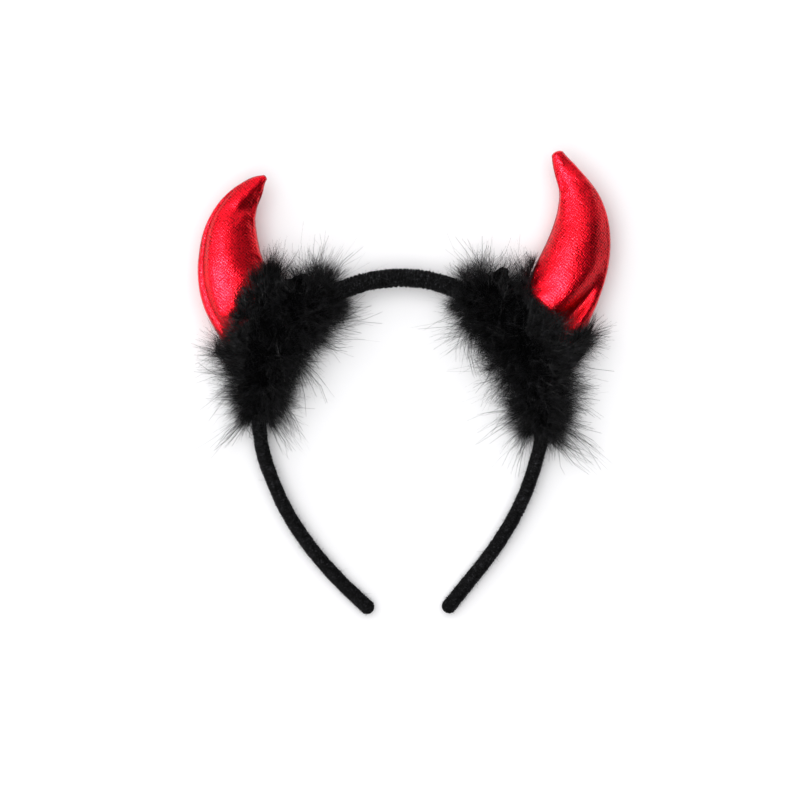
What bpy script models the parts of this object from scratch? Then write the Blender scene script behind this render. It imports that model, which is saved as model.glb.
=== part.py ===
"""Costume headband with two stuffed horns, each with a marabou feather trim round its base.

Metres, +Z up. The headband lies on the surface at Z = 0 with its crown towards +Y. The hoop is drawn
in a plane of its own, with the crown arc's centre at the plane's origin, and the empty laid_flat
leans that plane so that the fat part of both horns and both ends of the hoop rest on the surface.
"""

import math
import random
from collections import namedtuple

import bmesh
import bpy
from mathutils import Matrix, Vector

# Hoop: half of its centreline, from the top of the crown, as arcs that run into each other. The
# tail is an arc and a straight, and its bend differs a little from side to side.
crown_radius = 0.0596
crown_sweep = math.radians(105)
temple_radius = 0.115
temple_sweep = math.radians(21)
tail_radius = 0.168
tail_length = 0.0372
left_tail_sweep = math.radians(9)
right_tail_sweep = math.radians(4.5)

# Hoop: its padded, wound cover, as thick at the crown as the first two sizes say
cover_thickness = 0.0074
cover_depth = 0.0090
hoop_end_round = 0.0030
hoop_ring_spacing = 0.0062
hoop_sides = 12
hoop_end_rings = (35, 62, 80)

# Horns: the lower face has the upper one's valley and dents to a lesser depth
horn_width = 0.034
horn_depth = 0.0215
left_horn_length = 0.0818
right_horn_length = 0.0902
left_seat_angle = math.radians(59.2)
right_seat_angle = math.radians(64.1)
seat_cup = 0.0028
horn_seam_pinch = 0.22
channel_breadth = 0.17
horn_rings = 22
horn_sides = 20
horn_tip_rings = (40, 70)
lower_face_share = 0.35

# Marabou trims: how far their locks reach, and how far along the hoop they run from the horn's seat
trim_reach = 0.026
left_trim_to_crown = 0.035
left_trim_to_temple = 0.028
right_trim_to_crown = 0.038
right_trim_to_temple = 0.034
backing_share = 0.56
backing_wall = 0.0014
trim_ring_spacing = 0.0072
trim_sides = 12
lock_floor_gap = 0.0005

# Locks: how wide one is at its waist and tip, how far out its waist is, as shares, how far it is
# combed sideways there, and how much one differs from the next
lock_waist_width = 0.50
lock_tip_width = 0.14
lock_waist_out = 0.78
lock_waist_comb = 0.22
lock_tip_comb = 0.50
lock_splay = 0.85
lock_splay_change = 0.15
lock_angle_change = 0.10
lock_length_change = 0.13

# Marabou trims: the collar that wraps the horn's foot
left_collar_height = 0.0165
right_collar_height = 0.0095
collar_wall = 0.0028
collar_lock = 0.0085
collar_lock_rise = 0.80
collar_lock_lean = 0.88
collar_lock_change = 0.10
collar_rows = 3

# Fits
clearance = 0.0003
horn_press = 0.0006
tail_press = 0.0003
horn_rest_share = 0.36

HoopSection = namedtuple("HoopSection", "along thickness depth")
HornSection = namedtuple("HornSection", "along lean turn width depth channel channel_at")
Dent = namedtuple("Dent", "along across length breadth turn depth")
TrimSection = namedtuple("TrimSection", "along outer inner over")

# Shares of the half hoop's length, of cover_thickness and of cover_depth
HOOP_SECTIONS = [
    HoopSection(0.00, 1.00, 1.00),
    HoopSection(0.18, 1.00, 0.98),
    HoopSection(0.36, 0.90, 0.92),
    HoopSection(0.55, 0.78, 0.82),
    HoopSection(0.80, 0.78, 0.76),
    HoopSection(1.00, 0.82, 0.74),
]

# along: share of the horn's length. lean: degrees outwards from the hoop's upright. turn: how far
# the section lies along the hoop, from 1 at the seat. width and depth: shares of the horn's.
# channel: how deep the valley beside the outer seam is, and channel_at where, in half widths.
LEFT_HORN_SECTIONS = [
    HornSection(0.00, 36, 1.0, 0.80, 0.62, 0.00, 0.62),
    HornSection(0.14, 32, 1.0, 1.02, 0.84, 0.10, 0.62),
    HornSection(0.26, 27, 0.5, 0.96, 0.97, 0.20, 0.64),
    HornSection(0.36, 21, 0.1, 0.92, 1.00, 0.26, 0.66),
    HornSection(0.50, 5, 0.0, 0.81, 0.98, 0.26, 0.70),
    HornSection(0.64, -8, 0.0, 0.68, 0.86, 0.24, 0.74),
    HornSection(0.76, -24, 0.0, 0.52, 0.68, 0.22, 0.78),
    HornSection(0.86, -38, 0.0, 0.35, 0.48, 0.18, 0.80),
    HornSection(0.94, -44, 0.0, 0.21, 0.30, 0.08, 0.80),
    HornSection(1.00, -58, 0.0, 0.06, 0.12, 0.00, 0.80),
]
RIGHT_HORN_SECTIONS = [
    HornSection(0.00, 46, 1.0, 0.80, 0.62, 0.00, 0.48),
    HornSection(0.11, 36, 1.0, 0.99, 0.82, 0.12, 0.48),
    HornSection(0.24, 25, 0.5, 0.91, 0.96, 0.26, 0.50),
    HornSection(0.36, 23, 0.1, 0.89, 1.00, 0.34, 0.54),
    HornSection(0.50, 18, 0.0, 0.83, 0.99, 0.36, 0.60),
    HornSection(0.64, 5, 0.0, 0.70, 0.88, 0.32, 0.66),
    HornSection(0.76, -11, 0.0, 0.53, 0.70, 0.22, 0.70),
    HornSection(0.86, -24, 0.0, 0.36, 0.52, 0.10, 0.72),
    HornSection(0.94, -26, 0.0, 0.26, 0.36, 0.00, 0.72),
    HornSection(1.00, -20, 0.0, 0.16, 0.22, 0.00, 0.72),
]

# along: share of the horn's length. across: half widths, outwards. length, breadth: shares of the
# horn's width. turn: degrees from the spine. depth: share of the horn's depth.
LEFT_HORN_DENTS = [
    Dent(0.75, -0.50, 0.22, 0.10, 28, 0.13),
    Dent(0.20, 0.25, 0.20, 0.16, 60, 0.06),
]
RIGHT_HORN_DENTS = [
    Dent(0.17, 0.10, 0.30, 0.10, 80, 0.10),
    Dent(0.90, -0.45, 0.16, 0.09, 0, 0.05),
]

# Reach of the feathers outwards, inwards and over the hoop, as shares of trim_reach, by share of
# the trim's length from its crown end
LEFT_TRIM_SECTIONS = [
    TrimSection(0.00, 0.34, 0.28, 0.28),
    TrimSection(0.16, 0.78, 0.56, 0.50),
    TrimSection(0.42, 0.92, 0.64, 0.68),
    TrimSection(0.70, 0.95, 0.64, 0.66),
    TrimSection(0.90, 0.78, 0.48, 0.46),
    TrimSection(1.00, 0.42, 0.32, 0.28),
]
RIGHT_TRIM_SECTIONS = [
    TrimSection(0.00, 0.34, 0.32, 0.28),
    TrimSection(0.14, 0.86, 0.66, 0.52),
    TrimSection(0.38, 0.86, 0.84, 0.70),
    TrimSection(0.62, 0.90, 0.86, 0.70),
    TrimSection(0.86, 0.84, 0.66, 0.54),
    TrimSection(1.00, 0.46, 0.42, 0.32),
]

# side: -1 left, +1 right
HornPlan = namedtuple("HornPlan", "name side length seat_angle sections dents")
LEFT_HORN = HornPlan(
    "left_horn", -1, left_horn_length, left_seat_angle, LEFT_HORN_SECTIONS, LEFT_HORN_DENTS
)
RIGHT_HORN = HornPlan(
    "right_horn", 1, right_horn_length, right_seat_angle, RIGHT_HORN_SECTIONS, RIGHT_HORN_DENTS
)
TrimPlan = namedtuple("TrimPlan", "name horn to_crown to_temple collar sections seed")
TRIMS = [
    TrimPlan(
        "left_marabou_trim",
        LEFT_HORN,
        left_trim_to_crown,
        left_trim_to_temple,
        left_collar_height,
        LEFT_TRIM_SECTIONS,
        11,
    ),
    TrimPlan(
        "right_marabou_trim",
        RIGHT_HORN,
        right_trim_to_crown,
        right_trim_to_temple,
        right_collar_height,
        RIGHT_TRIM_SECTIONS,
        23,
    ),
]


def clear_scene():
    for old in list(bpy.data.objects):
        bpy.data.objects.remove(old)


def smooth_value(rows, column, share):
    """A table's column at a share, on a smooth curve through its rows."""
    share = min(max(share, rows[0].along), rows[-1].along)
    last = len(rows) - 1
    i = max(k for k in range(last) if rows[k].along <= share)

    def at(k):
        return getattr(rows[k], column)

    def slope(k):
        low, high = max(k - 1, 0), min(k + 1, last)
        return (at(high) - at(low)) / (rows[high].along - rows[low].along)

    step = rows[i + 1].along - rows[i].along
    t = (share - rows[i].along) / step
    return (
        at(i) * (2 * t**3 - 3 * t**2 + 1)
        + slope(i) * step * (t**3 - 2 * t**2 + t)
        + at(i + 1) * (3 * t**2 - 2 * t**3)
        + slope(i + 1) * step * (t**3 - t**2)
    )


def hoop_arcs(side):
    return [
        (crown_radius, crown_sweep),
        (temple_radius, temple_sweep),
        (tail_radius, left_tail_sweep if side < 0 else right_tail_sweep),
    ]


def half_hoop_length():
    return crown_radius * crown_sweep + temple_radius * temple_sweep + tail_length


def hoop_at(distance, side):
    """Centre, outward normal and tangent towards the hoop's end, at a distance from the crown."""
    x, y, heading = 0.0, crown_radius, 0.0
    for radius, sweep in hoop_arcs(side):
        turn = min(distance / radius, sweep)
        x += radius * (math.sin(heading + turn) - math.sin(heading))
        y += radius * (math.cos(heading + turn) - math.cos(heading))
        heading += turn
        distance -= radius * turn
    x += distance * math.cos(heading)
    y -= distance * math.sin(heading)
    normal = Vector((side * math.sin(heading), math.cos(heading), 0))
    tangent = Vector((side * math.cos(heading), -math.sin(heading), 0))
    return Vector((side * x, y, 0)), normal, tangent


def hoop_size(distance):
    share = distance / half_hoop_length()
    thickness = cover_thickness * smooth_value(HOOP_SECTIONS, "thickness", share)
    depth = cover_depth * smooth_value(HOOP_SECTIONS, "depth", share)
    return thickness, depth


def hoop_stations():
    """(distance, share of the full section) down one side, with the round end's rings last."""
    straight = half_hoop_length() - hoop_end_round
    steps = round(straight / hoop_ring_spacing)
    body = [(straight * i / steps, 1.0) for i in range(steps + 1)]
    dome = [math.radians(degrees) for degrees in hoop_end_rings]
    return body + [(straight + hoop_end_round * math.sin(a), math.cos(a)) for a in dome]


def hoop_ring(distance, side, share, grow):
    centre, normal, _ = hoop_at(distance, side)
    thickness, depth = hoop_size(distance)
    half_thickness = thickness / 2 * share + grow
    half_depth = depth / 2 * share + grow
    ring = []
    for i in range(hoop_sides):
        angle = 2 * math.pi * (i + 0.5) / hoop_sides
        out = normal * half_thickness * math.cos(angle)
        ring.append(centre + out + Vector((0, 0, half_depth * math.sin(angle))))
    return ring


def hoop_rings(grow):
    stations = hoop_stations()
    left = [hoop_ring(d, -1, share, grow) for d, share in reversed(stations)]
    right = [hoop_ring(d, 1, share, grow) for d, share in stations[1:]]
    return left + right


def mesh_object(name, bm):
    bmesh.ops.recalc_face_normals(bm, faces=bm.faces)
    mesh = bpy.data.meshes.new(name)
    bm.to_mesh(mesh)
    bm.free()
    mesh.shade_smooth()
    mesh.set_sharp_from_angle(angle=math.radians(50))
    made = bpy.data.objects.new(name, mesh)
    bpy.context.scene.collection.objects.link(made)
    return made


def loft(rings):
    """A closed skin through rings of as many points each, as a bmesh."""
    bm = bmesh.new()
    loops = [[bm.verts.new(point) for point in ring] for ring in rings]
    count = len(rings[0])
    for near, far in zip(loops, loops[1:]):
        for i in range(count):
            j = (i + 1) % count
            bm.faces.new((near[i], near[j], far[j], far[i]))
    bm.faces.new(reversed(loops[0]))
    bm.faces.new(loops[-1])
    return bm


def horn_seat(plan):
    """Where a horn's spine starts: in the cover's outer side, so that the horn cups the hoop."""
    distance = crown_radius * plan.seat_angle
    centre, normal, _ = hoop_at(distance, plan.side)
    return centre + normal * (hoop_size(distance)[0] / 2 - seat_cup)


def horn_spine(plan):
    """(share, centre, across) at each ring; across is the section's outward line in the plane."""
    base_lean = math.radians(plan.sections[0].lean)
    point, frames = horn_seat(plan), []
    for k in range(horn_rings):
        share = k / (horn_rings - 1)
        lean = math.radians(smooth_value(plan.sections, "lean", share))
        turn = smooth_value(plan.sections, "turn", share)
        if k:
            middle = math.radians(
                smooth_value(plan.sections, "lean", share - 0.5 / (horn_rings - 1))
            )
            step = plan.length / (horn_rings - 1)
            point = point + step * Vector((plan.side * math.sin(middle), math.cos(middle), 0))
        slant = lean + turn * (plan.seat_angle - base_lean)
        across = Vector((plan.side * math.cos(slant), -math.sin(slant), 0))
        frames.append((share, point, across))
    return frames


def upright_to(across, side):
    """The direction towards the tip that is square to a section's outward line."""
    return Vector((-across.y, across.x, 0)) * side


def horn_half_sizes(plan, share, grow):
    half_width = horn_width * smooth_value(plan.sections, "width", share) / 2 + grow
    half_depth = horn_depth * smooth_value(plan.sections, "depth", share) / 2 + grow
    return half_width, half_depth


def dent_depth(plan, share, across, upper):
    """How far the stuffed face is pressed in at a place on it."""
    pressed = 0.0
    for dent in plan.dents:
        along = (share - dent.along) * plan.length
        aside = (across - dent.across) * horn_width / 2
        turn = math.radians(dent.turn)
        length = (along * math.cos(turn) + aside * math.sin(turn)) / (dent.length * horn_width)
        breadth = (aside * math.cos(turn) - along * math.sin(turn)) / (dent.breadth * horn_width)
        pressed += dent.depth * horn_depth * math.exp(-(length**2) - breadth**2)
    return pressed if upper else lower_face_share * pressed


def horn_ring(plan, share, centre, across, grow):
    half_width, half_depth = horn_half_sizes(plan, share, grow)
    channel = smooth_value(plan.sections, "channel", share)
    channel_at = smooth_value(plan.sections, "channel_at", share)
    ring = []
    for i in range(horn_sides):
        angle = 2 * math.pi * i / horn_sides
        u, v = math.cos(angle), math.sin(angle)
        height = half_depth * v * (1 - horn_seam_pinch * u * u)
        valley = channel * math.exp(-(((u - channel_at) / channel_breadth) ** 2))
        height *= 1 - (valley if v > 0 else lower_face_share * valley)
        height -= math.copysign(dent_depth(plan, share, u, v > 0) * abs(v), v)
        ring.append(centre + across * half_width * u + Vector((0, 0, height)))
    return ring


def horn_mesh(plan, grow=0.0):
    """The stuffed horn, closed by a round tip, or a cutter that is grown all round."""
    frames = horn_spine(plan)
    rings = [horn_ring(plan, *frame, grow) for frame in frames]
    tip = frames[-1][1]
    forward = (tip - frames[-2][1]).normalized()
    half_width = horn_half_sizes(plan, 1.0, grow)[0]
    last = rings[-1]
    for angle in (math.radians(degrees) for degrees in horn_tip_rings):
        ahead = forward * half_width * math.sin(angle)
        rings.append([tip + (point - tip) * math.cos(angle) + ahead for point in last])
    if grow:
        behind = upright_to(frames[0][2], plan.side) * grow
        rings.insert(0, [point - behind for point in rings[0]])
    return loft(rings)


def inside_horn(plan, point, margin):
    """Whether a point of the hoop's plane lies in a horn, or within the margin of it."""
    share, centre, across = min(horn_spine(plan), key=lambda f: (f[1] - point).length)
    half_width, half_depth = horn_half_sizes(plan, share, margin)
    along = upright_to(across, plan.side).dot(point - centre)
    if share in (0.0, 1.0) and abs(along) > margin + plan.length / horn_rings:
        return False
    u = across.dot(point - centre) / half_width
    return u * u + (point.z / half_depth) ** 2 < 1


def lie():
    """The hoop's plane to the world: leans the plane and sets it down on the surface."""
    rest_y = sum(
        min(horn_spine(plan), key=lambda f: abs(f[0] - horn_rest_share))[1].y
        for plan in (LEFT_HORN, RIGHT_HORN)
    ) / 2
    tail_distance = half_hoop_length() - hoop_end_round
    tail_y = (hoop_at(tail_distance, -1)[0].y + hoop_at(tail_distance, 1)[0].y) / 2
    horn_height = horn_depth / 2 - horn_press
    tail_height = hoop_size(tail_distance)[1] / 2 - tail_press
    angle = math.asin((horn_height - tail_height) / (rest_y - tail_y))
    lift = tail_height - tail_y * math.sin(angle)
    return Matrix.Translation((0, 0, lift)) @ Matrix.Rotation(angle, 4, "X")


def trim_rim(sections, share, angle, under):
    """Where the feathers end beside the hoop's centreline: outwards, and upwards, at an angle."""
    side = "outer" if math.cos(angle) > 0 else "inner"
    level = trim_reach * smooth_value(sections, side, share)
    upright = trim_reach * smooth_value(sections, "over", share)
    if math.sin(angle) < 0:
        upright = min(upright, under)
    return level * math.cos(angle), upright * math.sin(angle)


def trim_stations(trim):
    start = crown_radius * trim.horn.seat_angle - trim.to_crown
    length = trim.to_crown + trim.to_temple
    steps = round(length / trim_ring_spacing)
    return [(i / steps, start + length * i / steps) for i in range(steps + 1)]


def sleeve_ring(trim, share, distance, under):
    """One ring of the dense sleeve round the hoop that the locks grow from."""
    centre, normal, _ = hoop_at(distance, trim.horn.side)
    thickness, depth = hoop_size(distance)
    ring = []
    for i in range(trim_sides):
        angle = 2 * math.pi * (i + 0.5) / trim_sides
        level, upright = trim_rim(trim.sections, share, angle, under)
        least_level = (thickness / 2 + backing_wall) * math.cos(angle)
        least_upright = (depth / 2 + backing_wall) * math.sin(angle)
        level = max(backing_share * level, least_level, key=abs)
        upright = max(backing_share * upright, least_upright, key=abs)
        ring.append(centre + normal * level + Vector((0, 0, upright)))
    return ring


def grow_lock(bm, face, trim, laid, waist, tip):
    """Draws a face out into a lock, where the lock clears the horn and the surface."""
    foot = face.calc_center_median()
    path = [foot, (foot + waist) / 2, waist, (waist + tip) / 2, tip]
    if min((laid @ point).z for point in path) < lock_floor_gap:
        return
    if any(inside_horn(trim.horn, point, 2 * clearance) for point in path):
        return
    loop = list(face.verts)
    offsets = [vert.co - foot for vert in loop]
    bm.faces.remove(face)
    for place, width in ((waist, lock_waist_width), (tip, lock_tip_width)):
        raised = [bm.verts.new(place + offset * width) for offset in offsets]
        for i, vert in enumerate(loop):
            j = (i + 1) % len(loop)
            bm.faces.new((vert, loop[j], raised[j], raised[i]))
        loop = raised
    bm.faces.new(loop)


def sleeve_mesh(trim, laid):
    """The feathers along the hoop, combed away from the middle of the trim."""
    chance = random.Random(trim.seed)
    stations = trim_stations(trim)
    heights = [(laid @ hoop_at(distance, trim.horn.side)[0]).z for _, distance in stations]
    unders = [height - 2 * lock_floor_gap for height in heights]
    bm = loft([sleeve_ring(trim, *station, under) for station, under in zip(stations, unders)])
    walls = [face for face in bm.faces if len(face.verts) == 4]
    for number, face in enumerate(walls):
        row, column = divmod(number, trim_sides)
        share = (stations[row][0] + stations[row + 1][0]) / 2
        distance = (stations[row][1] + stations[row + 1][1]) / 2
        centre, normal, tangent = hoop_at(distance, trim.horn.side)
        angle = 2 * math.pi * (column + 1) / trim_sides
        angle += lock_angle_change * chance.uniform(-1, 1)
        splay = (2 * share - 1) * lock_splay + lock_splay_change * chance.uniform(-1, 1)
        level, upright = trim_rim(trim.sections, share, angle, unders[row + 1])
        rim = normal * level + Vector((0, 0, upright))
        combed = tangent * splay * rim.length
        length = 1 + lock_length_change * chance.uniform(-1, 1)
        waist = centre + (rim * lock_waist_out + combed * lock_waist_comb) * length
        tip = centre + (rim + combed * lock_tip_comb) * length
        grow_lock(bm, face, trim, laid, waist, tip)
    return bm


def collar_mesh(trim, laid):
    """The feathers wound round the horn's foot and behind it, combed along the horn."""
    chance = random.Random(trim.seed + 1)
    horn = trim.horn
    spine = horn_spine(horn)
    rings, middles = [], []
    for row in range(collar_rows + 1):
        share = trim.collar / horn.length * row / collar_rows
        k = share * (horn_rings - 1)
        low = int(k)
        centre = spine[low][1].lerp(spine[low + 1][1], k - low)
        across = spine[low][2].lerp(spine[low + 1][2], k - low).normalized()
        rings.append(horn_ring(horn, share, centre, across, collar_wall)[::2])
        middles.append(centre)
    behind = upright_to(spine[0][2], horn.side) * collar_wall
    bm = loft([[point - behind for point in rings[0]]] + rings)
    columns = len(rings[0])
    walls = [face for face in bm.faces if len(face.verts) == 4]
    for number, face in enumerate(walls[2 * columns :]):
        row = 1 + number // columns
        foot = face.calc_center_median()
        along = (middles[row + 1] - middles[row]).normalized()
        out = foot - (middles[row] + middles[row + 1]) / 2
        out = (out - along * out.dot(along)).normalized()
        reach = collar_lock * (1 + collar_lock_change * chance.uniform(-1, 1))
        rise = out * collar_lock_rise
        lean = along * collar_lock_lean * (1 + collar_lock_change * chance.uniform(-1, 1))
        waist = foot + (rise * lock_waist_out + lean * lock_tip_comb) * reach
        tip = foot + (rise + lean) * reach
        grow_lock(bm, face, trim, laid, waist, tip)
    return bm


def material(name, colour, roughness, metallic):
    made = bpy.data.materials.new(name)
    made.use_nodes = True
    shader = made.node_tree.nodes["Principled BSDF"]
    shader.inputs["Base Color"].default_value = (*colour, 1.0)
    shader.inputs["Roughness"].default_value = roughness
    shader.inputs["Metallic"].default_value = metallic
    return made


def as_cutter(made, parent):
    made.hide_render = True
    made.display_type = "WIRE"
    made.parent = parent
    return made


def cut(made, cutter):
    away = made.modifiers.new("cut_" + cutter.name, "BOOLEAN")
    away.operation = "DIFFERENCE"
    away.object = cutter


def surface_cutter():
    """A block under the surface, which presses flat what rests on it."""
    side = 4 * (half_hoop_length() + right_horn_length)
    bm = bmesh.new()
    bmesh.ops.create_cube(bm, size=side)
    bmesh.ops.translate(bm, verts=bm.verts, vec=(0, 0, -side / 2))
    return as_cutter(mesh_object("surface_cutter", bm), None)


def place(made, parent, finish):
    made.parent = parent
    made.data.materials.append(finish)
    return made


def join(made, other):
    together = made.modifiers.new("join_" + other.name, "BOOLEAN")
    together.operation = "UNION"
    together.use_self = True
    together.object = other


def main():
    clear_scene()
    laid_flat = bpy.data.objects.new("laid_flat", None)
    bpy.context.scene.collection.objects.link(laid_flat)
    laid = lie()
    laid_flat.matrix_world = laid

    wound_cover = material("black_chenille", (0.010, 0.010, 0.011), 0.85, 0.0)
    foil_cloth = material("red_foil_cloth", (0.72, 0.008, 0.030), 0.34, 0.9)
    marabou = material("black_marabou", (0.008, 0.008, 0.009), 0.7, 0.0)

    surface = surface_cutter()
    hoop_cutter = as_cutter(mesh_object("hoop_cutter", loft(hoop_rings(clearance))), laid_flat)

    headband = place(mesh_object("headband", loft(hoop_rings(0.0))), laid_flat, wound_cover)
    cut(headband, surface)

    for plan in TRIMS:
        horn = place(mesh_object(plan.horn.name, horn_mesh(plan.horn)), laid_flat, foil_cloth)
        cut(horn, hoop_cutter)
        cut(horn, surface)

        room = mesh_object(plan.horn.name + "_room", horn_mesh(plan.horn, clearance))
        collar = mesh_object(plan.name + "_collar", collar_mesh(plan, laid))
        trim = place(mesh_object(plan.name, sleeve_mesh(plan, laid)), laid_flat, marabou)
        join(trim, as_cutter(collar, laid_flat))
        cut(trim, hoop_cutter)
        cut(trim, as_cutter(room, laid_flat))
        cut(trim, surface)


main()
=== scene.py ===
"""Looks of a devil horns headband: a wound chenille band, stuffed foil-cloth horns and marabou trims.

Metres, +Z up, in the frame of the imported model, which lies on the surface at Z = 0 with its crown
towards +Y. Hoop, horns and trims are worked out in the hoop's own plane, with the crown arc's centre
at its origin, and laid_flat() leans that plane onto the surface. Tables give lengths as shares of
the sizes in the property groups, which the panel in the sidebar shows.
"""

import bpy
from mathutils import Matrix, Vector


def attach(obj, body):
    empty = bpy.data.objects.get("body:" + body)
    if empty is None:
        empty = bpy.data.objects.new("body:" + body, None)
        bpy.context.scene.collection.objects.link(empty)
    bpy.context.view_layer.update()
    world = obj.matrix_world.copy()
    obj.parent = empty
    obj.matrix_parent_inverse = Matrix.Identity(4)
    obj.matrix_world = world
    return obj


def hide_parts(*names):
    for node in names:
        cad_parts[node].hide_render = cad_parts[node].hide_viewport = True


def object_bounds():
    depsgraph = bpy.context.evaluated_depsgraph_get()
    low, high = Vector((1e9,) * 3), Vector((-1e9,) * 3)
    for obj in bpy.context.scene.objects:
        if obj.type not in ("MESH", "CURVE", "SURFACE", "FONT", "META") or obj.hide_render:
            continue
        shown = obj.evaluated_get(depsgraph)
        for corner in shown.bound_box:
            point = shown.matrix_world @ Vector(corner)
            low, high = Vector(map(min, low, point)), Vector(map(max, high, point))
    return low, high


bl_info = {
    "name": "Devil Horns Headband",
    "version": (1, 0, 0),
    "blender": (4, 5, 0),
    "location": "3D View > Sidebar > Headband",
    "description": "Builds a wound headband with stuffed foil horns and marabou trims",
    "category": "Add Mesh",
}

import math
from collections import namedtuple

import bpy
import numpy as np
from bpy.props import FloatProperty, FloatVectorProperty, IntProperty, PointerProperty
from mathutils import Matrix, Vector

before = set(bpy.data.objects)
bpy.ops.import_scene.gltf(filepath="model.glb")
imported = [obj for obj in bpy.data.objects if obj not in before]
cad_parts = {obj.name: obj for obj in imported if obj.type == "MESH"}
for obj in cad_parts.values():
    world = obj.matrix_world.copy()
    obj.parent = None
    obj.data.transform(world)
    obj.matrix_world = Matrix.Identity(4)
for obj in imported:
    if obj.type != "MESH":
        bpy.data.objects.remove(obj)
CAD_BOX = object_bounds()

HoopSection = namedtuple("HoopSection", "along thickness depth")
HornSection = namedtuple("HornSection", "along lean turn width depth channel channel_at")
Fold = namedtuple("Fold", "along across to_along to_across breadth depth")
EdgePoint = namedtuple("EdgePoint", "along share")
TrimSection = namedtuple("TrimSection", "along outer inner over")
Plume = namedtuple("Plume", "along around comb reach spread")
HornPlan = namedtuple("HornPlan", "name side length seat channel_breadth sections folds feather_edge")
TrimPlan = namedtuple("TrimPlan", "name horn to_crown to_temple sections plumes seed")

# Shares of the half hoop's length, of the cover's thickness and of its depth
HOOP_SECTIONS = [
    HoopSection(0.00, 1.00, 1.00),
    HoopSection(0.18, 1.00, 0.98),
    HoopSection(0.36, 0.90, 0.92),
    HoopSection(0.55, 0.78, 0.82),
    HoopSection(0.80, 0.78, 0.76),
    HoopSection(1.00, 0.82, 0.74),
]

# along: share of the horn's length. lean: degrees outwards from the hoop's upright. turn: how far
# the section lies along the hoop, from 1 at the seat. width and depth: shares of the horn's.
# channel: how deep the valley beside the outer seam is, and channel_at where, in half widths.
LEFT_HORN_SECTIONS = [
    HornSection(0.00, 36, 1.0, 0.80, 0.62, 0.00, 0.62),
    HornSection(0.14, 32, 1.0, 1.02, 0.84, 0.10, 0.62),
    HornSection(0.26, 27, 0.5, 0.96, 0.97, 0.24, 0.74),
    HornSection(0.36, 21, 0.1, 0.92, 1.00, 0.32, 0.78),
    HornSection(0.50, 5, 0.0, 0.81, 0.98, 0.34, 0.80),
    HornSection(0.64, -8, 0.0, 0.68, 0.86, 0.32, 0.82),
    HornSection(0.76, -24, 0.0, 0.52, 0.68, 0.28, 0.83),
    HornSection(0.86, -38, 0.0, 0.37, 0.48, 0.20, 0.84),
    HornSection(0.94, -44, 0.0, 0.24, 0.30, 0.08, 0.84),
    HornSection(1.00, -58, 0.0, 0.08, 0.12, 0.00, 0.84),
]
RIGHT_HORN_SECTIONS = [
    HornSection(0.00, 46, 1.0, 0.80, 0.62, 0.00, 0.48),
    HornSection(0.11, 36, 1.0, 0.99, 0.82, 0.12, 0.48),
    HornSection(0.24, 25, 0.5, 0.91, 0.96, 0.40, 0.46),
    HornSection(0.36, 23, 0.1, 0.89, 1.00, 0.42, 0.61),
    HornSection(0.50, 18, 0.0, 0.83, 0.99, 0.20, 0.80),
    HornSection(0.64, 5, 0.0, 0.70, 0.88, 0.11, 0.84),
    HornSection(0.76, -11, 0.0, 0.53, 0.70, 0.07, 0.86),
    HornSection(0.86, -24, 0.0, 0.36, 0.52, 0.03, 0.86),
    HornSection(0.94, -26, 0.0, 0.26, 0.36, 0.00, 0.80),
    HornSection(1.00, -20, 0.0, 0.16, 0.22, 0.00, 0.80),
]

# Creases pressed into the cover from one place to another. along: share of the horn's length.
# across: half widths, outwards. breadth: share of the horn's width. depth: share of its depth,
# below zero for a ridge.
LEFT_HORN_FOLDS = [
    Fold(0.78, -0.05, 0.93, -0.60, 0.075, 0.060),
    Fold(0.79, -0.24, 0.73, -0.90, 0.020, -0.014),
    Fold(0.75, -0.30, 0.70, -0.80, 0.040, 0.018),
    Fold(0.20, 0.95, 0.24, 0.10, 0.120, 0.120),
    Fold(0.24, 0.10, 0.34, -0.50, 0.120, 0.080),
    Fold(0.58, 0.20, 0.66, -0.10, 0.100, 0.012),
]
RIGHT_HORN_FOLDS = [
    Fold(0.96, -0.50, 0.72, -0.70, 0.030, 0.035),
    Fold(0.72, -0.70, 0.48, -0.84, 0.030, 0.028),
    Fold(0.34, 0.50, 0.18, 0.08, 0.120, 0.110),
    Fold(0.19, -0.75, 0.165, 0.10, 0.120, 0.160),
    Fold(0.27, 0.74, 0.25, 0.98, 0.030, 0.040),
    Fold(0.45, 0.99, 0.42, 0.84, 0.020, 0.030),
    Fold(0.62, -0.30, 0.70, 0.10, 0.090, 0.014),
]

# How far up the horn the feathers reach. along: from -1 at the inner seam to 1 at the outer one.
# share: of the horn's length.
LEFT_FEATHER_EDGE = [
    EdgePoint(-1.00, 0.43),
    EdgePoint(-0.50, 0.43),
    EdgePoint(-0.28, 0.365),
    EdgePoint(0.20, 0.30),
    EdgePoint(0.60, 0.25),
    EdgePoint(1.00, 0.23),
]
RIGHT_FEATHER_EDGE = [
    EdgePoint(-1.00, 0.43),
    EdgePoint(-0.86, 0.25),
    EdgePoint(-0.30, 0.175),
    EdgePoint(0.20, 0.195),
    EdgePoint(0.65, 0.235),
    EdgePoint(1.00, 0.25),
]

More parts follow.
